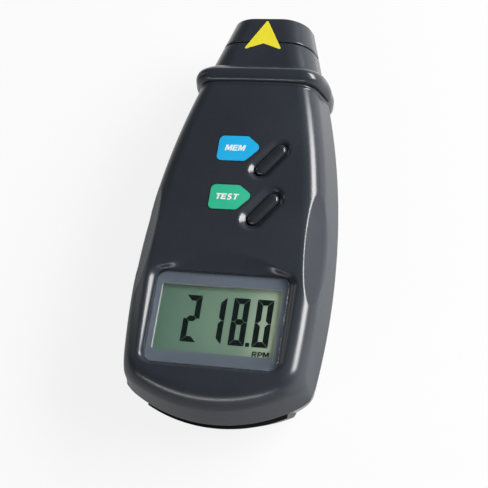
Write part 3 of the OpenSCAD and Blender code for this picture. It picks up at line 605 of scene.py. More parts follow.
# %% [markdown]
# ## Nose cap
# The cap plugs into the neck and holds the dark red window. It is one closed ring of loops: along the outside
# with the dark groove at its seam, over the rounded tip, down into the window's recess and back through the
# tunnel.

# %% Build the nose cap
PLUG, GROOVE_DEEP, GROOVE_WIDE, LIP_R, TIP_R = 4.0, 0.8, 0.75, 0.35, 0.5
LIP_FROM, LIP_SIZE_AT, SIDE_FROM, SIDE_TO = 0.8, 1.1, 1.6, 1.2
WINDOW_W, WINDOW_H, WINDOW_R, TUNNEL = 13.0, 8.5, 7.5, -1.0


def ring(s, y):
    p = full_outline(s, 6, 14, 8)
    top = np.stack([p[:, 0], np.full(len(p), y), SEAM_Z + p[:, 1]], -1)
    low = np.stack([-p[1:-1, 0], np.full(len(p) - 2, y), SEAM_Z - p[1:-1, 1]], -1)
    return np.concatenate([top, low])


def nose_ring(y, t, at=None):
    """The nose's outline at y, set in by t, as a loop at y or at another place."""
    left = LENGTH - y
    size = (TIP_W / 2 + NOSE_TAPER * left - t, TIP_H / 2 + NOSE_SLOPE * left - t, NOSE_R - t)
    return ring(size + (NOSE_FLARE, 0.0), y if at is None else at)


def window_ring(y, grow):
    return ring((WINDOW_W + grow, WINDOW_H + grow, WINDOW_R + grow, 0.0, 0.0), y)


loops = [nose_ring(NOSE_SEAM_Y + up, t) for up, t in
         ((-PLUG, WALL + GAP), (0.0, WALL + GAP), (0.02, GROOVE_DEEP), (GROOVE_WIDE, GROOVE_DEEP))]
for a in np.linspace(0, math.pi / 2, 5):
    loops.append(nose_ring(NOSE_SEAM_Y + LIP_SIZE_AT, LIP_R * (1 - math.sin(a)),
                           NOSE_SEAM_Y + LIP_FROM + LIP_R * (1 - math.cos(a))))
loops += [nose_ring(y, 0) for y in np.linspace(NOSE_SEAM_Y + SIDE_FROM, LENGTH - SIDE_TO, 10)]
for a in np.linspace(0, math.pi / 2, 9):
    loops.append(nose_ring(LENGTH - TIP_R, TIP_R * (1 - math.cos(a)), LENGTH - TIP_R * (1 - math.sin(a))))
loops += [window_ring(LENGTH - down, grow) for down, grow in
          ((0.02, 0.75), (0.25, 0.3), (0.6, 0.15), (4.0, 0.15), (4.02, TUNNEL))]
loops.append(window_ring(NOSE_SEAM_Y - PLUG, TUNNEL))
n = len(loops[0])
last = (len(loops) - 1) * n
cap_faces = grid_faces(len(loops), n, closed=True)
cap_faces += [(last + j, last + (j + 1) % n, (j + 1) % n, j) for j in range(n)]
cap = mesh_object("nose_cap_skin", np.array(loops), cap_faces)
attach(cap, "case")
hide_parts("nose_cap")
print("nose cap", len(cap.data.polygons), "faces")

# %% [markdown]
# ## Display
# Behind a clear lens lies the display glass. The lens has rounded edges and a grey border printed on its
# underside, which is a frame-shaped sheet just inside it; a strip of pale foam fills the gap between the glass
# and the lens, as a gasket does on the real piece. The digits are seven-segment bars with mitred ends, and each
# lies a hair above the glass as the dark liquid crystal does. Font digits would not have the gaps between bars.

# %% Printed border, gasket and lens
LEDGE_T, GLASS_PLAY, HAIR = 1.4, 0.2, 0.01
BORDER_PLAY, PRINT_LOW, PRINT_HIGH, FOAM_W, FOAM_CORNER = 0.5, 1.57, 1.5, 0.7, 1.4
GLASS_TOP = LENS_Z - LENS_T - LEDGE_T - GLASS_PLAY
LENS_PROFILE = ((0.0, LENS_T), (0.0, 0.45), (0.06, 0.22), (0.22, 0.06), (0.45, 0.0))


def frame_sheet(name, outer_line, inner_line, z0, z1):
    n = len(outer_line)
    pts = [(x, y, z) for z in (z0, z1) for line in (outer_line, inner_line) for x, y in line]
    faces = []
    for i in range(n):
        j = (i + 1) % n
        faces += [(i, j, n + j, n + i), (2 * n + i, 2 * n + j, 3 * n + j, 3 * n + i),
                  (i, j, 2 * n + j, 2 * n + i), (n + i, n + j, 3 * n + j, 3 * n + i)]
    return mesh_object(name, np.array(pts, float), faces)


view_line = rounded_box(VIEW_W, VIEW_LEN, VIEW_CORNER, (0, LENS_Y))
border_line = rounded_box(LENS_W - BORDER_PLAY, LENS_LEN - BORDER_PLAY, LENS_CORNER, (0, LENS_Y))
border = frame_sheet("display_border", border_line, view_line, LENS_Z - PRINT_LOW, LENS_Z - PRINT_HIGH)
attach(border, "case")
gasket_line = rounded_box(VIEW_W + FOAM_W, VIEW_LEN + FOAM_W, FOAM_CORNER, (0, LENS_Y))
gasket = frame_sheet("display_gasket", gasket_line, view_line, GLASS_TOP + HAIR, LENS_Z - LENS_T - HAIR)
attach(gasket, "case")
lens_rings = []
for inset, down in LENS_PROFILE:
    plan = rounded_box(LENS_W - 2 * inset, LENS_LEN - 2 * inset, LENS_CORNER - inset, (0, LENS_Y), 12)
    lens_rings.append([(x, y, LENS_Z - down) for x, y in plan])
lens = stack("display_lens_skin", lens_rings)
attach(lens, "case")
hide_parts("display_lens")
print("lens", len(lens.data.polygons), "faces")

# %% Seven-segment digits
BAR, BAR_GAP = 2.12, 0.065
DIGIT_W, DIGIT_H, DIGIT_Y = 6.0, 17.6, 27.2
SHOWN = (("2", -7.0), ("1", 2.35), ("8", 10.95), ("0", 19.7))  # each digit and its right edge
POINT, POINT_AT = 1.5, (12.2, 27.9)
LIT = {"2": "abged", "1": "bc", "8": "abcdefg", "0": "abcdef"}


def digit_bars(mark, right):
    left, low, high = right - DIGIT_W, DIGIT_Y, DIGIT_Y + DIGIT_H
    mid = low + DIGIT_H / 2
    g, b = BAR_GAP, BAR

    def level(y, up):
        return [(left + g, y), (left + g + b, y - up * b), (right - g - b, y - up * b), (right - g, y)]

    def upright(x, way, y, up):
        return [(x, y - up * g), (x, mid + up * g), (x + way * b / 2, mid + up * g),
                (x + way * b, mid + up * (g + b / 2)), (x + way * b, y - up * (g + b))]

    bars = {
        "a": level(high, 1), "d": level(low, -1),
        "b": upright(right, -1, high, 1), "c": upright(right, -1, low, -1),
        "f": upright(left, 1, high, 1), "e": upright(left, 1, low, -1),
        "g": [(left + g + b / 2, mid), (left + g + b, mid + b / 2), (right - g - b, mid + b / 2),
              (right - g - b / 2, mid), (right - g - b, mid - b / 2), (left + g + b, mid - b / 2)],
    }
    return [bars[k] for k in LIT[mark]]


bars = [bar for mark, right in SHOWN for bar in digit_bars(mark, right)]
bars.append(rounded_box(POINT, POINT, 0.3, POINT_AT, 4))
digits = plates("display_digits", bars, GLASS_TOP + HAIR, GLASS_TOP + 0.05)
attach(digits, "case")
print("display", len(bars), "bars, glass top at", round(GLASS_TOP, 2))

# %% [markdown]
# ## Tags
# Beside each key lies a thin vinyl tag shaped like a house on its side, pointing at its key. A tag has to lie on
# a face that is not flat, so its outline is filled with rings that shrink to its middle, and every point is
# dropped onto the skin by a ray from above, a few hundredths proud of it.

# %% Tags on the face
TAG_R, RIM, RIM_TIP, SHEET_CREASE = 1.9, 0.4, 1.4, 50.0
RIM_LIFT, RIM_T, TAG_LIFT, TAG_T = 0.03, 0.1, 0.07, 0.08
# left edge, tip, shoulder, lower edge, upper edge and height of the tip
TAGS = {"mem": (-9.7, 7.1, 1.5, 96.8, 107.0, 102.6), "test": (-9.6, 6.9, 1.3, 77.1, 86.9, 82.9)}


def round_corners(corners, r, n=6):
    pts = []
    m = len(corners)
    for i in range(m):
        p, a, b = (np.array(corners[k % m], float) for k in (i, i - 1, i + 1))
        u, v = (a - p) / np.linalg.norm(a - p), (b - p) / np.linalg.norm(b - p)
        half = math.acos(np.clip(u @ v, -1, 1)) / 2
        reach = r / math.tan(half)
        c = p + (u + v) / np.linalg.norm(u + v) * r / math.sin(half)
        s, e = p + u * reach - c, p + v * reach - c
        a0, a1 = math.atan2(s[1], s[0]), math.atan2(e[1], e[0])
        turn = (a1 - a0 + math.pi) % (2 * math.pi) - math.pi
        for k in range(n + 1):
            a = a0 + turn * k / n
            pts.append(tuple(c + r * np.array([math.cos(a), math.sin(a)])))
    return pts


def face_skin(x, y):
    origin = Vector(to_metres([(x, y, 60.0)])[0])
    return front.ray_cast(origin, Vector((0, 0, -1)))[1].z / MM


def laid_sheet(name, outline, height, lift, thick, rings=7):
    """A thin sheet laid on the skin: rings shrink from the outline to its middle, so it bends with the face."""
    line = np.array(outline)
    mid = line.mean(0)
    n = len(line)
    pts = []
    for level in (lift, lift - thick):
        for k in range(rings):
            for x, y in mid + (line - mid) * (1 - k / rings):
                pts.append((x, y, height(x, y) + level))
        pts.append((mid[0], mid[1], height(mid[0], mid[1]) + level))
    count = rings * n + 1
    faces = []
    for layer in (0, count):
        last = layer + (rings - 1) * n
        faces += grid_faces(rings, n, layer, closed=True)
        faces += [(last + j, last + (j + 1) % n, layer + count - 1) for j in range(n)]
    faces += [(j, (j + 1) % n, count + (j + 1) % n, count + j) for j in range(n)]
    return mesh_object(name, np.array(pts), faces, SHEET_CREASE)


def house(grow, x0, x1, shoulder, y0, y1, tip_y):
    corners = [(x0 - grow, y0 - grow), (shoulder, y0 - grow), (x1 + RIM_TIP * grow, tip_y),
               (shoulder, y1 + grow), (x0 - grow, y1 + grow)]
    return round_corners(corners, TAG_R + grow)


bpy.context.view_layer.update()
tag_pieces = {}
for name, plan in TAGS.items():
    rim = laid_sheet(name + "_tag_rim", house(RIM, *plan), face_skin, RIM_LIFT, RIM_T)
    tag = laid_sheet(name + "_tag", house(0.0, *plan), face_skin, TAG_LIFT, TAG_T)
    tag_pieces[name] = [rim, tag]
print("tags", {k: len(v[1].data.polygons) for k, v in tag_pieces.items()})

# %% [markdown]
# ## Words
# The tags carry plain function words in heavy slanted capitals, and the display its unit. Blender's text object
# would do, but its built-in font made bolder breaks up in the inner corners, so the six letters that are needed
# are drawn as outlines on a unit square, and their round strokes as ribbons along arcs.


# %% Heavy letters
def ribbon(path, width):
    path = np.array(path)
    along = np.gradient(path, axis=0)
    side = np.stack([-along[:, 1], along[:, 0]], -1) / np.linalg.norm(along, axis=1, keepdims=True)
    return np.concatenate([path + side * width / 2, (path - side * width / 2)[::-1]])


def arc_path(cx, cy, r, a0, a1, n=14):
    turns = [math.radians(a0 + (a1 - a0) * i / n) for i in range(n + 1)]
    return [(cx + r * math.cos(a), cy + 0.9 * r * math.sin(a)) for a in turns]


STEM = [(0, 0), (0, 1), (0.24, 1), (0.24, 0)]
LETTERS = {  # advance and outlines
    "M": (1.12, [[(0, 0), (0, 1), (0.33, 1), (0.53, 0.45), (0.73, 1), (1.06, 1), (1.06, 0), (0.82, 0),
                  (0.82, 0.6), (0.61, 0.08), (0.45, 0.08), (0.24, 0.6), (0.24, 0)]]),
    "E": (0.88, [[(0, 0), (0, 1), (0.78, 1), (0.78, 0.78), (0.26, 0.78), (0.26, 0.61), (0.72, 0.61),
                  (0.72, 0.4), (0.26, 0.4), (0.26, 0.22), (0.8, 0.22), (0.8, 0)]]),
    "T": (0.84, [[(0.28, 0), (0.28, 0.78), (0, 0.78), (0, 1), (0.82, 1), (0.82, 0.78), (0.54, 0.78), (0.54, 0)]]),
    "S": (0.88, [ribbon(arc_path(0.4, 0.7, 0.24, 25, 262) + arc_path(0.4, 0.29, 0.26, 85, -155), 0.23)]),
    "P": (0.86, [STEM, ribbon([(0.24, 0.89)] + arc_path(0.5, 0.66, 0.2556, 90, -90, 10) + [(0.24, 0.43)], 0.22)]),
    "R": (0.92, [STEM, ribbon([(0.24, 0.89)] + arc_path(0.5, 0.68, 0.2333, 90, -90, 10) + [(0.24, 0.47)], 0.22),
                 [(0.38, 0.36), (0.62, 0.36), (0.86, 0), (0.58, 0)]]),
}
SPACE = 0.06
print("letters", "".join(LETTERS))

# %% Words on the tags and the display
WORD_X, WORD_UP, WORD_H, WORD_LIFT, WORD_HALF_T = -2.9, 0.15, 2.35, 0.09, 0.02
UNIT_AT, UNIT_H = (17.6, 24.7), 1.95


def word_plates(name, word, at, height, z, slant=0.2, wide=1.02):
    lines, x = [], 0.0
    for mark in word:
        step, outlines = LETTERS[mark]
        lines += [[(x + px, py) for px, py in line] for line in outlines]
        x += step + SPACE
    middle = (x - SPACE) / 2
    lines = [[(at[0] + height * wide * (px - middle + slant * (py - 0.5)), at[1] + height * (py - 0.5))
              for px, py in line] for line in lines]
    return plates(name, lines, z - WORD_HALF_T, z + WORD_HALF_T)


for name, plan in TAGS.items():
    at = (WORD_X, (plan[3] + plan[4]) / 2 + WORD_UP)
    word = word_plates(name + "_word", name.upper(), at, WORD_H, face_skin(*at) + WORD_LIFT)
    tag_pieces[name].append(word)
    for piece in tag_pieces[name]:
        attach(piece, "case")
unit = word_plates("display_unit", "RPM", UNIT_AT, UNIT_H, GLASS_TOP + 0.03, slant=0.0, wide=1.08)
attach(unit, "case")
print("words", [name.upper() for name in tag_pieces], "and the unit on the display")

# %% [markdown]
# ## Pointer
# A plain yellow arrowhead on the nose shows where the beam leaves. The neck's top is straight, so the height of
# each point follows from the drawing, and no ray is needed; the sheet bridges the seam of the cap.

# %% Pointer on the nose
ARROW = [(-7.7, 145.7), (0.0, 148.6), (7.7, 145.7), (0.0, 159.2)]
ARROW_R, ARROW_LIFT, ARROW_T = 0.45, 0.08, 0.1


def neck_top(x, y):
    return SEAM_Z + TIP_H / 2 + NOSE_SLOPE * (LENGTH - y)


pointer = laid_sheet("beam_pointer", round_corners(ARROW, ARROW_R, 5), neck_top, ARROW_LIFT, ARROW_T)
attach(pointer, "case")
print("pointer", len(pointer.data.polygons), "faces")

# %% [markdown]
# ## Keys
# The keys are long pills of black plastic with a full round top, so a fingertip finds them. An extruded stadium
# would look like a cut-out. A stack of stadium outlines that shrink along a round profile gives the pill, its
# straight wall and the flange that keeps it inside the shell.

# %% Build the keys
FLANGE, FLANGE_T, KEY_ROUND, KEY_INSET, KEY_POWER = 0.9, 0.7, 1.7, 2.3, 0.85


def key_skin(name, node, at):
    low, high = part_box(node)
    z0, top = low.z / MM, high.z / MM
    levels = [(z0, FLANGE), (z0 + FLANGE_T - 0.15, FLANGE), (z0 + FLANGE_T, FLANGE - 0.15),
              (z0 + FLANGE_T, 0.0), (top - KEY_ROUND, 0.0)]
    for i in range(1, 12):
        a = math.pi / 2 * i / 11
        levels.append((top - KEY_ROUND * (1 - math.sin(a)), -KEY_INSET * (1 - math.cos(a) ** KEY_POWER)))
    return stack(name, [[(x, y, z) for x, y in stadium(KEY_LEN + 2 * grow, KEY_W + 2 * grow, at, KEY_TURN, 20)]
                        for z, grow in levels])


keys = {}
for name, at in (("mem_key", (KEY_X, MEM_Y)), ("test_key", (KEY_X, TEST_Y))):
    keys[name] = key_skin(name + "_skin", name, at)
    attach(keys[name], name)
    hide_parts(name)

# %% [markdown]
# ## Shared surface effects
# Moulded plastic is never one colour: a fine spark-eroded grain scatters the light, the tone drifts a little
# across the piece, and hands leave glossier patches. Several finishes need this, so it is one node group with its
# own inputs. It gives out a colour, a roughness and a height, and each material keeps its own shader.

# %% Node helpers
COLOUR, FLOAT, VECTOR = "NodeSocketColor", "NodeSocketFloat", "NodeSocketVector"
SURFACE = [("Colour", COLOUR), ("Roughness", FLOAT), ("Height", FLOAT)]


def rgb(r, g, b):
    return (r, g, b, 1.0)


def new_group(name, inputs, outputs):
    group = bpy.data.node_groups.new(name, "ShaderNodeTree")
    for label, kind, value in inputs:
        socket = group.interface.new_socket(label, in_out="INPUT", socket_type=kind)
        if value is not None:
            socket.default_value = value
    for label, kind in outputs:
        group.interface.new_socket(label, in_out="OUTPUT", socket_type=kind)
    return group, group.nodes.new("NodeGroupInput").outputs, group.nodes.new("NodeGroupOutput").inputs


def feed(tree, socket, value):
    """Links a socket to another one, or sets it to a constant."""
    if isinstance(value, bpy.types.NodeSocket):
        tree.links.new(value, socket)
    else:
        socket.default_value = value


def add(tree, kind, **settings):
    node = tree.nodes.new(kind)
    for key, value in settings.items():
        if key in node.inputs:
            feed(tree, node.inputs[key], value)
        else:
            setattr(node, key, value)
    return node


def own_place(tree):
    return tree.nodes.new("ShaderNodeTexCoord").outputs["Object"]


def noise(tree, vector, scale, detail=3.0, roughness=0.55):
    return add(tree, "ShaderNodeTexNoise", Vector=vector, Scale=scale, Detail=detail, Roughness=roughness,
               Lacunarity=2.3).outputs["Fac"]


def remap(tree, value, a, b, c, d):
    ends = {"Value": value, "From Min": a, "From Max": b, "To Min": c, "To Max": d}
    return add(tree, "ShaderNodeMapRange", **ends).outputs["Result"]


def maths(tree, operation, a, b, kind="ShaderNodeMath"):
    node = add(tree, kind, operation=operation)
    feed(tree, node.inputs[0], a)
    feed(tree, node.inputs[1], b)
    return node.outputs["Value" if operation == "DOT_PRODUCT" else 0]


def mix_colour(tree, fac, a, b):
    node = add(tree, "ShaderNodeMix", data_type="RGBA", Factor=fac)
    feed(tree, node.inputs[6], a)
    feed(tree, node.inputs[7], b)
    return node.outputs[2]


print("a surface group puts out", [label for label, kind in SURFACE])

# %% Moulded grain
grain, gi, go = new_group("moulded_grain", [
    ("Tone", COLOUR, rgb(0.02, 0.024, 0.03)), ("Drift Tone", COLOUR, rgb(0.03, 0.035, 0.042)),
    ("Smooth", FLOAT, 0.35), ("Coarse", FLOAT, 0.5), ("Grain", FLOAT, 2600.0), ("Patch", FLOAT, 45.0)], SURFACE)
turned = add(grain, "ShaderNodeVectorRotate", rotation_type="EULER_XYZ", Rotation=(0.61, 0.37, 0.83),
             Vector=own_place(grain)).outputs["Vector"]
fine = noise(grain, turned, gi["Grain"], 1.0)
patch = noise(grain, turned, gi["Patch"], 4.0)
speck = remap(grain, fine, 0.2, 0.8, 0.0, 0.3)
drift = remap(grain, patch, 0.35, 0.65, 0.0, 0.55)
both = maths(grain, "ADD", speck, drift)
feed(grain, go["Colour"], mix_colour(grain, both, gi["Tone"], gi["Drift Tone"]))
feed(grain, go["Roughness"], remap(grain, patch, 0.3, 0.7, gi["Smooth"], gi["Coarse"]))
feed(grain, go["Height"], fine)
print("group", grain.name, len(grain.nodes), "nodes")

# %% [markdown]
# ## Edge wear and scratches
# Convex edges rub bright first. Blender's pointiness tells how convex a dense mesh is at each point; broken up by
# noise it becomes a wear mask. Metal and polished plastic show fine scratches in one direction instead: noise
# stretched along an axis. Both are groups because several finishes share them.

# %% Edge wear and scratch groups
wear, wi, wo = new_group("edge_wear", [
    ("Colour", COLOUR, None), ("Worn", COLOUR, rgb(0.1, 0.1, 0.1)), ("From", FLOAT, 0.53), ("To", FLOAT, 0.6)],
    [("Colour", COLOUR), ("Mask", FLOAT)])
convex = wear.nodes.new("ShaderNodeNewGeometry").outputs["Pointiness"]
spots = noise(wear, own_place(wear), 420.0)
rub = maths(wear, "MULTIPLY", remap(wear, convex, wi["From"], wi["To"], 0.0, 1.0),
            remap(wear, spots, 0.4, 0.62, 0.0, 1.0))
feed(wear, wo["Colour"], mix_colour(wear, rub, wi["Colour"], wi["Worn"]))
feed(wear, wo["Mask"], rub)

LENGTHWISE = (60.0, 4000.0, 4000.0)
scratch, si, so = new_group("fine_scratches", [
    ("Tone", COLOUR, rgb(0.7, 0.7, 0.7)), ("Dull Tone", COLOUR, rgb(0.5, 0.5, 0.5)),
    ("Smooth", FLOAT, 0.15), ("Coarse", FLOAT, 0.35), ("Stretch", VECTOR, LENGTHWISE)], SURFACE)
stretched = maths(scratch, "MULTIPLY", own_place(scratch), si["Stretch"], "ShaderNodeVectorMath")
line = noise(scratch, stretched, 1.0, 3.0, 0.6)
dull = remap(scratch, line, 0.4, 0.65, 0.0, 1.0)
feed(scratch, so["Colour"], mix_colour(scratch, dull, si["Tone"], si["Dull Tone"]))
feed(scratch, so["Roughness"], remap(scratch, line, 0.35, 0.7, si["Smooth"], si["Coarse"]))
feed(scratch, so["Height"], line)
print("groups", [g.name for g in bpy.data.node_groups])

# %% [markdown]
# ## Finishes
# Each finish is a Principled shader fed by the groups. Constants such as IOR, coat or transmission sit on the
# shader's own sockets. One helper makes the moulded finishes, another the metals; glass and the display are made
# one by one. The roughness of a finish stays on one side of about 0.27: the denoiser treats smoother surfaces as
# mirrors, and a noise that crosses that line comes out as ragged blotches.

# %% Finish helpers
GRAIN_DEPTH, SCRATCH_DEPTH = 0.00006, 0.00003


def shader_of(name):
    mat = bpy.data.materials.new(name)
    mat.use_nodes = True
    return mat, mat.node_tree, mat.node_tree.nodes["Principled BSDF"]


def use_group(tree, group, **values):
    node = tree.nodes.new("ShaderNodeGroup")
    node.node_tree = group
    for key, value in values.items():
        node.inputs[key.replace("_", " ")].default_value = value
    return node.outputs


def paint(tree, shader, colour, roughness):
    feed(tree, shader.inputs["Base Color"], colour)
    feed(tree, shader.inputs["Roughness"], roughness)


def bump(tree, shader, height, strength, distance):
    node = add(tree, "ShaderNodeBump", Strength=strength, Distance=distance, Height=height)
    feed(tree, shader.inputs["Normal"], node.outputs["Normal"])


def moulded(name, tone, drift, smooth, coarse, size, patch, depth, worn=None, specular=0.5, coat=0.0):
    mat, tree, shader = shader_of(name)
    out = use_group(tree, grain, Tone=rgb(*tone), Drift_Tone=rgb(*drift), Smooth=smooth, Coarse=coarse,
                    Grain=size, Patch=patch)
    colour = out["Colour"]
    if worn:
        rubbed = add(tree, "ShaderNodeGroup", node_tree=wear)
        rubbed.inputs["Worn"].default_value = rgb(*worn)
        feed(tree, rubbed.inputs["Colour"], colour)
        colour = rubbed.outputs["Colour"]
    paint(tree, shader, colour, out["Roughness"])
    bump(tree, shader, out["Height"], depth, GRAIN_DEPTH)
    shader.inputs["Specular IOR Level"].default_value = specular
    shader.inputs["Coat Weight"].default_value = coat
    return mat


def metal(name, tone, dull, smooth, coarse, stretch=LENGTHWISE, depth=0.15):
    mat, tree, shader = shader_of(name)
    out = use_group(tree, scratch, Tone=rgb(*tone), Dull_Tone=rgb(*dull), Smooth=smooth, Coarse=coarse,
                    Stretch=stretch)
    paint(tree, shader, out["Colour"], out["Roughness"])
    bump(tree, shader, out["Height"], depth, SCRATCH_DEPTH)
    shader.inputs["Metallic"].default_value = 1.0
    return mat


print("grain is", GRAIN_DEPTH / MM, "mm deep, scratches", SCRATCH_DEPTH / MM)

# %% Plastics, rubber and metals
FINISH = {
    "housing_plastic": moulded("charcoal_abs", (0.0225, 0.0268, 0.034), (0.03, 0.0352, 0.0442), 0.2, 0.265,
                               1100, 38, 0.07, worn=(0.046, 0.052, 0.061), specular=0.55),
    "key_plastic": moulded("black_satin_abs", (0.008, 0.008, 0.009), (0.014, 0.014, 0.015), 0.3, 0.42,
                           2600, 60, 0.2),
    "white_plastic": moulded("white_moulding", (0.72, 0.72, 0.7), (0.8, 0.8, 0.78), 0.35, 0.5, 1800, 80, 0.2),
    "contact_rubber": moulded("pink_contact_rubber", (0.55, 0.2, 0.24), (0.68, 0.3, 0.33), 0.6, 0.8,
                              3000, 200, 0.3),
    "black_plastic": moulded("black_moulding", (0.012, 0.012, 0.013), (0.02, 0.02, 0.021), 0.4, 0.6,
                             2200, 90, 0.25),
    "capacitor_sleeve": moulded("blue_shrink_sleeve", (0.01, 0.014, 0.06), (0.016, 0.02, 0.08), 0.15, 0.25,
                                900, 120, 0.1, coat=0.3),
    "lead_red": moulded("red_insulation", (0.42, 0.012, 0.012), (0.5, 0.02, 0.02), 0.29, 0.4, 1500, 150, 0.15),
    "lead_blue": moulded("blue_insulation", (0.02, 0.035, 0.36), (0.03, 0.05, 0.44), 0.29, 0.4, 1500, 150, 0.15),
    "battery_can": moulded("grey_painted_can", (0.05, 0.06, 0.075), (0.065, 0.075, 0.09), 0.18, 0.265,
                           1400, 60, 0.1, coat=0.4),
    "bright_metal": metal("plated_steel", (0.62, 0.62, 0.6), (0.48, 0.48, 0.46), 0.16, 0.265),
    "brass_metal": metal("turned_brass", (0.62, 0.42, 0.14), (0.5, 0.33, 0.1), 0.18, 0.265,
                         (4000.0, 60.0, 4000.0)),
}
print("finishes", sorted(FINISH))

# %% [markdown]
# ## Board, window and glass
# The board is green mask over copper: a brick pattern stands in for runs of traces, which show as slightly
# raised, lighter lines. The window is a polished red filter. The lens is acrylic: real refraction, and a
# transparent answer to shadow rays, so that the light reaches the display under it without the noise of caustics.

# %% Board finish
mat, tree, shader = shader_of("green_board")
out = use_group(tree, grain, Tone=rgb(0.006, 0.09, 0.035), Drift_Tone=rgb(0.01, 0.12, 0.05), Smooth=0.18,
                Coarse=0.265, Grain=1500.0, Patch=70.0)
trace = add(tree, "ShaderNodeTexBrick", offset=0.37,
            **{"Vector": own_place(tree), "Scale": 160.0, "Mortar Size": 0.05}).outputs["Fac"]
paint(tree, shader, mix_colour(tree, trace, out["Colour"], rgb(0.03, 0.2, 0.09)), out["Roughness"])
bump(tree, shader, trace, 0.4, 0.00004)
FINISH["board_laminate"] = mat
print("board finish", len(tree.nodes), "nodes")


# %% Clear and red plastics, optical glass
def blend_shaders(tree, fac, a, b):
    blend = add(tree, "ShaderNodeMixShader", Fac=fac)
    feed(tree, blend.inputs[1], a)
    feed(tree, blend.inputs[2], b)
    feed(tree, tree.nodes["Material Output"].inputs["Surface"], blend.outputs["Shader"])


def clear(name, tint, faint, ior, smooth, coarse, through=1.0):
    mat, tree, shader = shader_of(name)
    out = use_group(tree, scratch, Tone=rgb(*tint), Dull_Tone=rgb(*faint), Smooth=smooth, Coarse=coarse,
                    Stretch=(900.0, 140.0, 900.0))
    paint(tree, shader, out["Colour"], out["Roughness"])
    shader.inputs["IOR"].default_value = ior
    shader.inputs["Transmission Weight"].default_value = through
    passing = add(tree, "ShaderNodeBsdfTransparent", Color=rgb(*tint))
    shadow = tree.nodes.new("ShaderNodeLightPath").outputs["Is Shadow Ray"]
    blend_shaders(tree, shadow, shader.outputs["BSDF"], passing.outputs["BSDF"])
    return mat


FINISH["clear_plastic"] = clear("clear_acrylic", (0.97, 0.985, 0.98), (0.95, 0.965, 0.96), 1.49, 0.0, 0.03)
FINISH["lens_glass"] = clear("optical_glass", (0.97, 0.98, 0.99), (0.95, 0.96, 0.97), 1.52, 0.0, 0.02)
FINISH["window_plastic"] = clear("red_filter", (0.42, 0.012, 0.02), (0.36, 0.01, 0.016), 1.49, 0.02, 0.06, 0.85)
print("clear finishes", [FINISH[k].name for k in ("clear_plastic", "lens_glass", "window_plastic")])

# %% [markdown]
# ## Display finish
# The reflective display is a dull silver-green over a very fine horizontal tooth of its polariser. Its colour is
# lightened towards the right as a painted glare, where it catches the lamp. The painted glare belongs to the
# object's own X, so it stays put from every side.


# %% Display, digits and print
def across(tree, a, b):
    """A ramp from 0 at x = a to 1 at x = b, in millimetres on the object."""
    split = add(tree, "ShaderNodeSeparateXYZ", Vector=own_place(tree))
    return remap(tree, split.outputs["X"], a * MM, b * MM, 0.0, 1.0)


mat, tree, shader = shader_of("silver_green_display_painted_glare")
out = use_group(tree, scratch, Tone=rgb(0.056, 0.106, 0.077), Dull_Tone=rgb(0.05, 0.096, 0.071), Smooth=0.29,
                Coarse=0.4, Stretch=(300.0, 5000.0, 300.0))
# Painted glare: the colour lightens from left to right, and more strongly at the right end, in place of lamp
# light
painted_glare_ramp = mix_colour(tree, across(tree, -22, 23), out["Colour"], rgb(0.142, 0.2, 0.143))
paint(tree, shader, mix_colour(tree, across(tree, 9, 25), painted_glare_ramp, rgb(0.3, 0.35, 0.26)), out["Roughness"])
FINISH["display_glass"] = mat
DIGIT = moulded("dark_crystal", (0.0008, 0.004, 0.0035), (0.0016, 0.006, 0.005), 0.3, 0.4, 900, 300, 0.05,
                specular=0.05)
GASKET = moulded("pale_foam", (0.2, 0.2, 0.19), (0.26, 0.26, 0.245), 0.6, 0.8, 2600, 200, 0.3)
KEY = moulded("satin_key", (0.018, 0.0205, 0.024), (0.024, 0.027, 0.031), 0.2, 0.27, 2600, 60, 0.15,
              specular=0.6)
BORDER = moulded("grey_lens_print", (0.072, 0.086, 0.11), (0.082, 0.097, 0.122), 0.3, 0.42, 1600, 60, 0.1)
VINYL = {
    "mem": moulded("blue_vinyl", (0.012, 0.40, 0.75), (0.02, 0.44, 0.8), 0.3, 0.42, 1400, 90, 0.12),
    "test": moulded("green_vinyl", (0.03, 0.46, 0.26), (0.045, 0.5, 0.3), 0.3, 0.42, 1400, 90, 0.12),
    "beam": moulded("yellow_vinyl", (0.78, 0.68, 0.03), (0.84, 0.75, 0.05), 0.3, 0.42, 1400, 90, 0.12),
    "rim": moulded("dark_outline", (0.008, 0.01, 0.012), (0.014, 0.016, 0.02), 0.4, 0.5, 1400, 90, 0.12),
    "ink": moulded("white_ink", (0.82, 0.84, 0.84), (0.88, 0.89, 0.89), 0.35, 0.45, 1800, 120, 0.08),
}
print("finishes made", len(bpy.data.materials))

# %% [markdown]
# ## Dressing the pieces
# Every new piece gets its finish by name, and every CAD node that still shows, down to the screws and leads
# inside, gets the finish of its own material slot from the record. Nothing keeps the grey it was imported with.


# %% Hand out the finishes
def dress(mat, *pieces):
    for obj in pieces:
        obj.data.materials.clear()
        obj.data.materials.append(mat)


dress(FINISH["housing_plastic"], front, rear, compartment, cap)
dress(FINISH["key_plastic"], door)
dress(KEY, *keys.values())
dress(BORDER, border)
dress(GASKET, gasket)
dress(FINISH["clear_plastic"], lens)
dress(DIGIT, digits, unit)
for name, (rim, tag, word) in tag_pieces.items():
    dress(VINYL["rim"], rim)
    dress(VINYL[name], tag)
    dress(VINYL["ink"], word)
dress(VINYL["beam"], pointer)
for sub in frame["record"]["subparts"]:
    dress(FINISH[sub["material_slot"]], nodes[sub["node"]])

# %% [markdown]
# ## Studio
# The photo is a product shot on a white ground, with the tool lying on its back. A large softbox stands low on
# the right, a weak one on the left, and a narrow strip in front draws the line of light along the chin. A pale
# floor that answers camera and mirror rays with near white keeps the ground white but still takes a soft shadow.
# Mirror rays see it darker to the left and in front, as if black cards lay there, which keeps those edges deep.

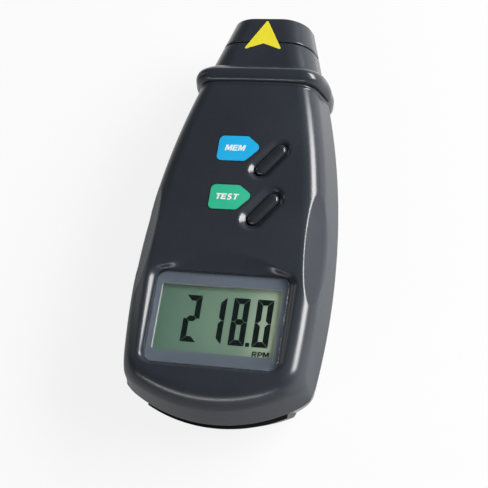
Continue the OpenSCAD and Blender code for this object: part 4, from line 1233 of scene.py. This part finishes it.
# %% Floor
FLOOR_HALF, FLOOR_Z, GLOW_SHARE = 15.0, -0.0004, 0.85
CARD_WAY, CARD_FROM, CARD_TO, CARD_DARK, CARD_BRIGHT = (0.8, 0.6, 0.0), -0.07, 0.03, 0.4, 1.2
floor_mesh = bpy.data.meshes.new("floor")
floor_mesh.from_pydata([(x * FLOOR_HALF, y * FLOOR_HALF, 0) for x, y in ((-1, -1), (1, -1), (1, 1), (-1, 1))],
                       [], [(0, 1, 2, 3)])
floor = bpy.data.objects.new("floor", floor_mesh)
floor.location.z = FLOOR_Z
bpy.context.scene.collection.objects.link(floor)
mat, tree, shader = shader_of("pale_floor")
out = use_group(tree, grain, Tone=rgb(0.8, 0.8, 0.8), Drift_Tone=rgb(0.83, 0.83, 0.83), Smooth=0.6, Coarse=0.7,
                Grain=300.0, Patch=4.0)
paint(tree, shader, out["Colour"], out["Roughness"])
paths = tree.nodes.new("ShaderNodeLightPath").outputs
toward = maths(tree, "DOT_PRODUCT", own_place(tree), CARD_WAY, "ShaderNodeVectorMath")
cards = remap(tree, toward, CARD_FROM, CARD_TO, CARD_DARK, CARD_BRIGHT)
glow = add(tree, "ShaderNodeEmission", Strength=remap(tree, paths["Is Glossy Ray"], 0.0, 1.0, 1.0, cards))
seen = maths(tree, "MAXIMUM", paths["Is Camera Ray"], paths["Is Glossy Ray"])
seen = maths(tree, "MAXIMUM", seen, paths["Is Transmission Ray"])
share = maths(tree, "MULTIPLY", seen, GLOW_SHARE)
blend_shaders(tree, share, shader.outputs["BSDF"], glow.outputs["Emission"])
dress(mat, floor)
print("floor", 2 * FLOOR_HALF, "m wide")

# %% Lamps and sky
AIM = Vector((0, 0, 0.02))


def softbox(name, at, wide, tall, watts):
    data = bpy.data.lights.new(name, "AREA")
    data.shape = "RECTANGLE"
    data.size, data.size_y = wide, tall
    data.energy = watts
    lamp = bpy.data.objects.new(name, data)
    lamp.location = at
    lamp.rotation_euler = (AIM - Vector(at)).to_track_quat("-Z", "Y").to_euler()
    bpy.context.scene.collection.objects.link(lamp)


softbox("right_lamp", (1.02, 0.43, 0.71), 1.2, 0.44, 29.0)
softbox("left_lamp", (-1.1, 0.3, 0.5), 0.2, 0.8, 0.6)
softbox("front_strip", (-0.3, -1.0, 0.5), 1.4, 0.1, 4.0)
world = bpy.data.worlds.new("studio")
world.use_nodes = True
sky = world.node_tree
way = add(sky, "ShaderNodeSeparateXYZ", Vector=sky.nodes.new("ShaderNodeTexCoord").outputs["Generated"]).outputs
low_sky = remap(sky, way["Z"], 0.02, 0.4, 1.0, 0.15)
right_sky = remap(sky, way["X"], -0.9, 0.6, 0.25, 1.0)
background = sky.nodes["Background"].inputs
feed(sky, background["Strength"], maths(sky, "MULTIPLY", low_sky, right_sky))
background["Color"].default_value = rgb(0.94, 0.97, 1.0)
bpy.context.scene.world = world

# %% [markdown]
# ## Camera
# The camera was found by matching corners of the CAD model to the picture: it looks down on the face from the
# lower right, with a long lens, slightly rolled.

CAMERA_AT = (0.13705, -0.16884, 0.45669)
RIGHT, UP, AWAY = (0.9582, 0.1519, -0.2426), (-0.0574, 0.9323, 0.3571), (0.2804, -0.3282, 0.9020)
camera_data = bpy.data.cameras.new("camera")
camera_data.sensor_width = 36.0
camera_data.lens = 94.92
camera_data.clip_start = 0.01
camera = bpy.data.objects.new("camera", camera_data)
camera.matrix_world = Matrix.Translation(CAMERA_AT) @ Matrix((RIGHT, UP, AWAY)).transposed().to_4x4()
bpy.context.scene.collection.objects.link(camera)
bpy.context.scene.camera = camera
bpy.context.scene.view_settings.view_transform = "Standard"
bpy.context.view_layer.update()
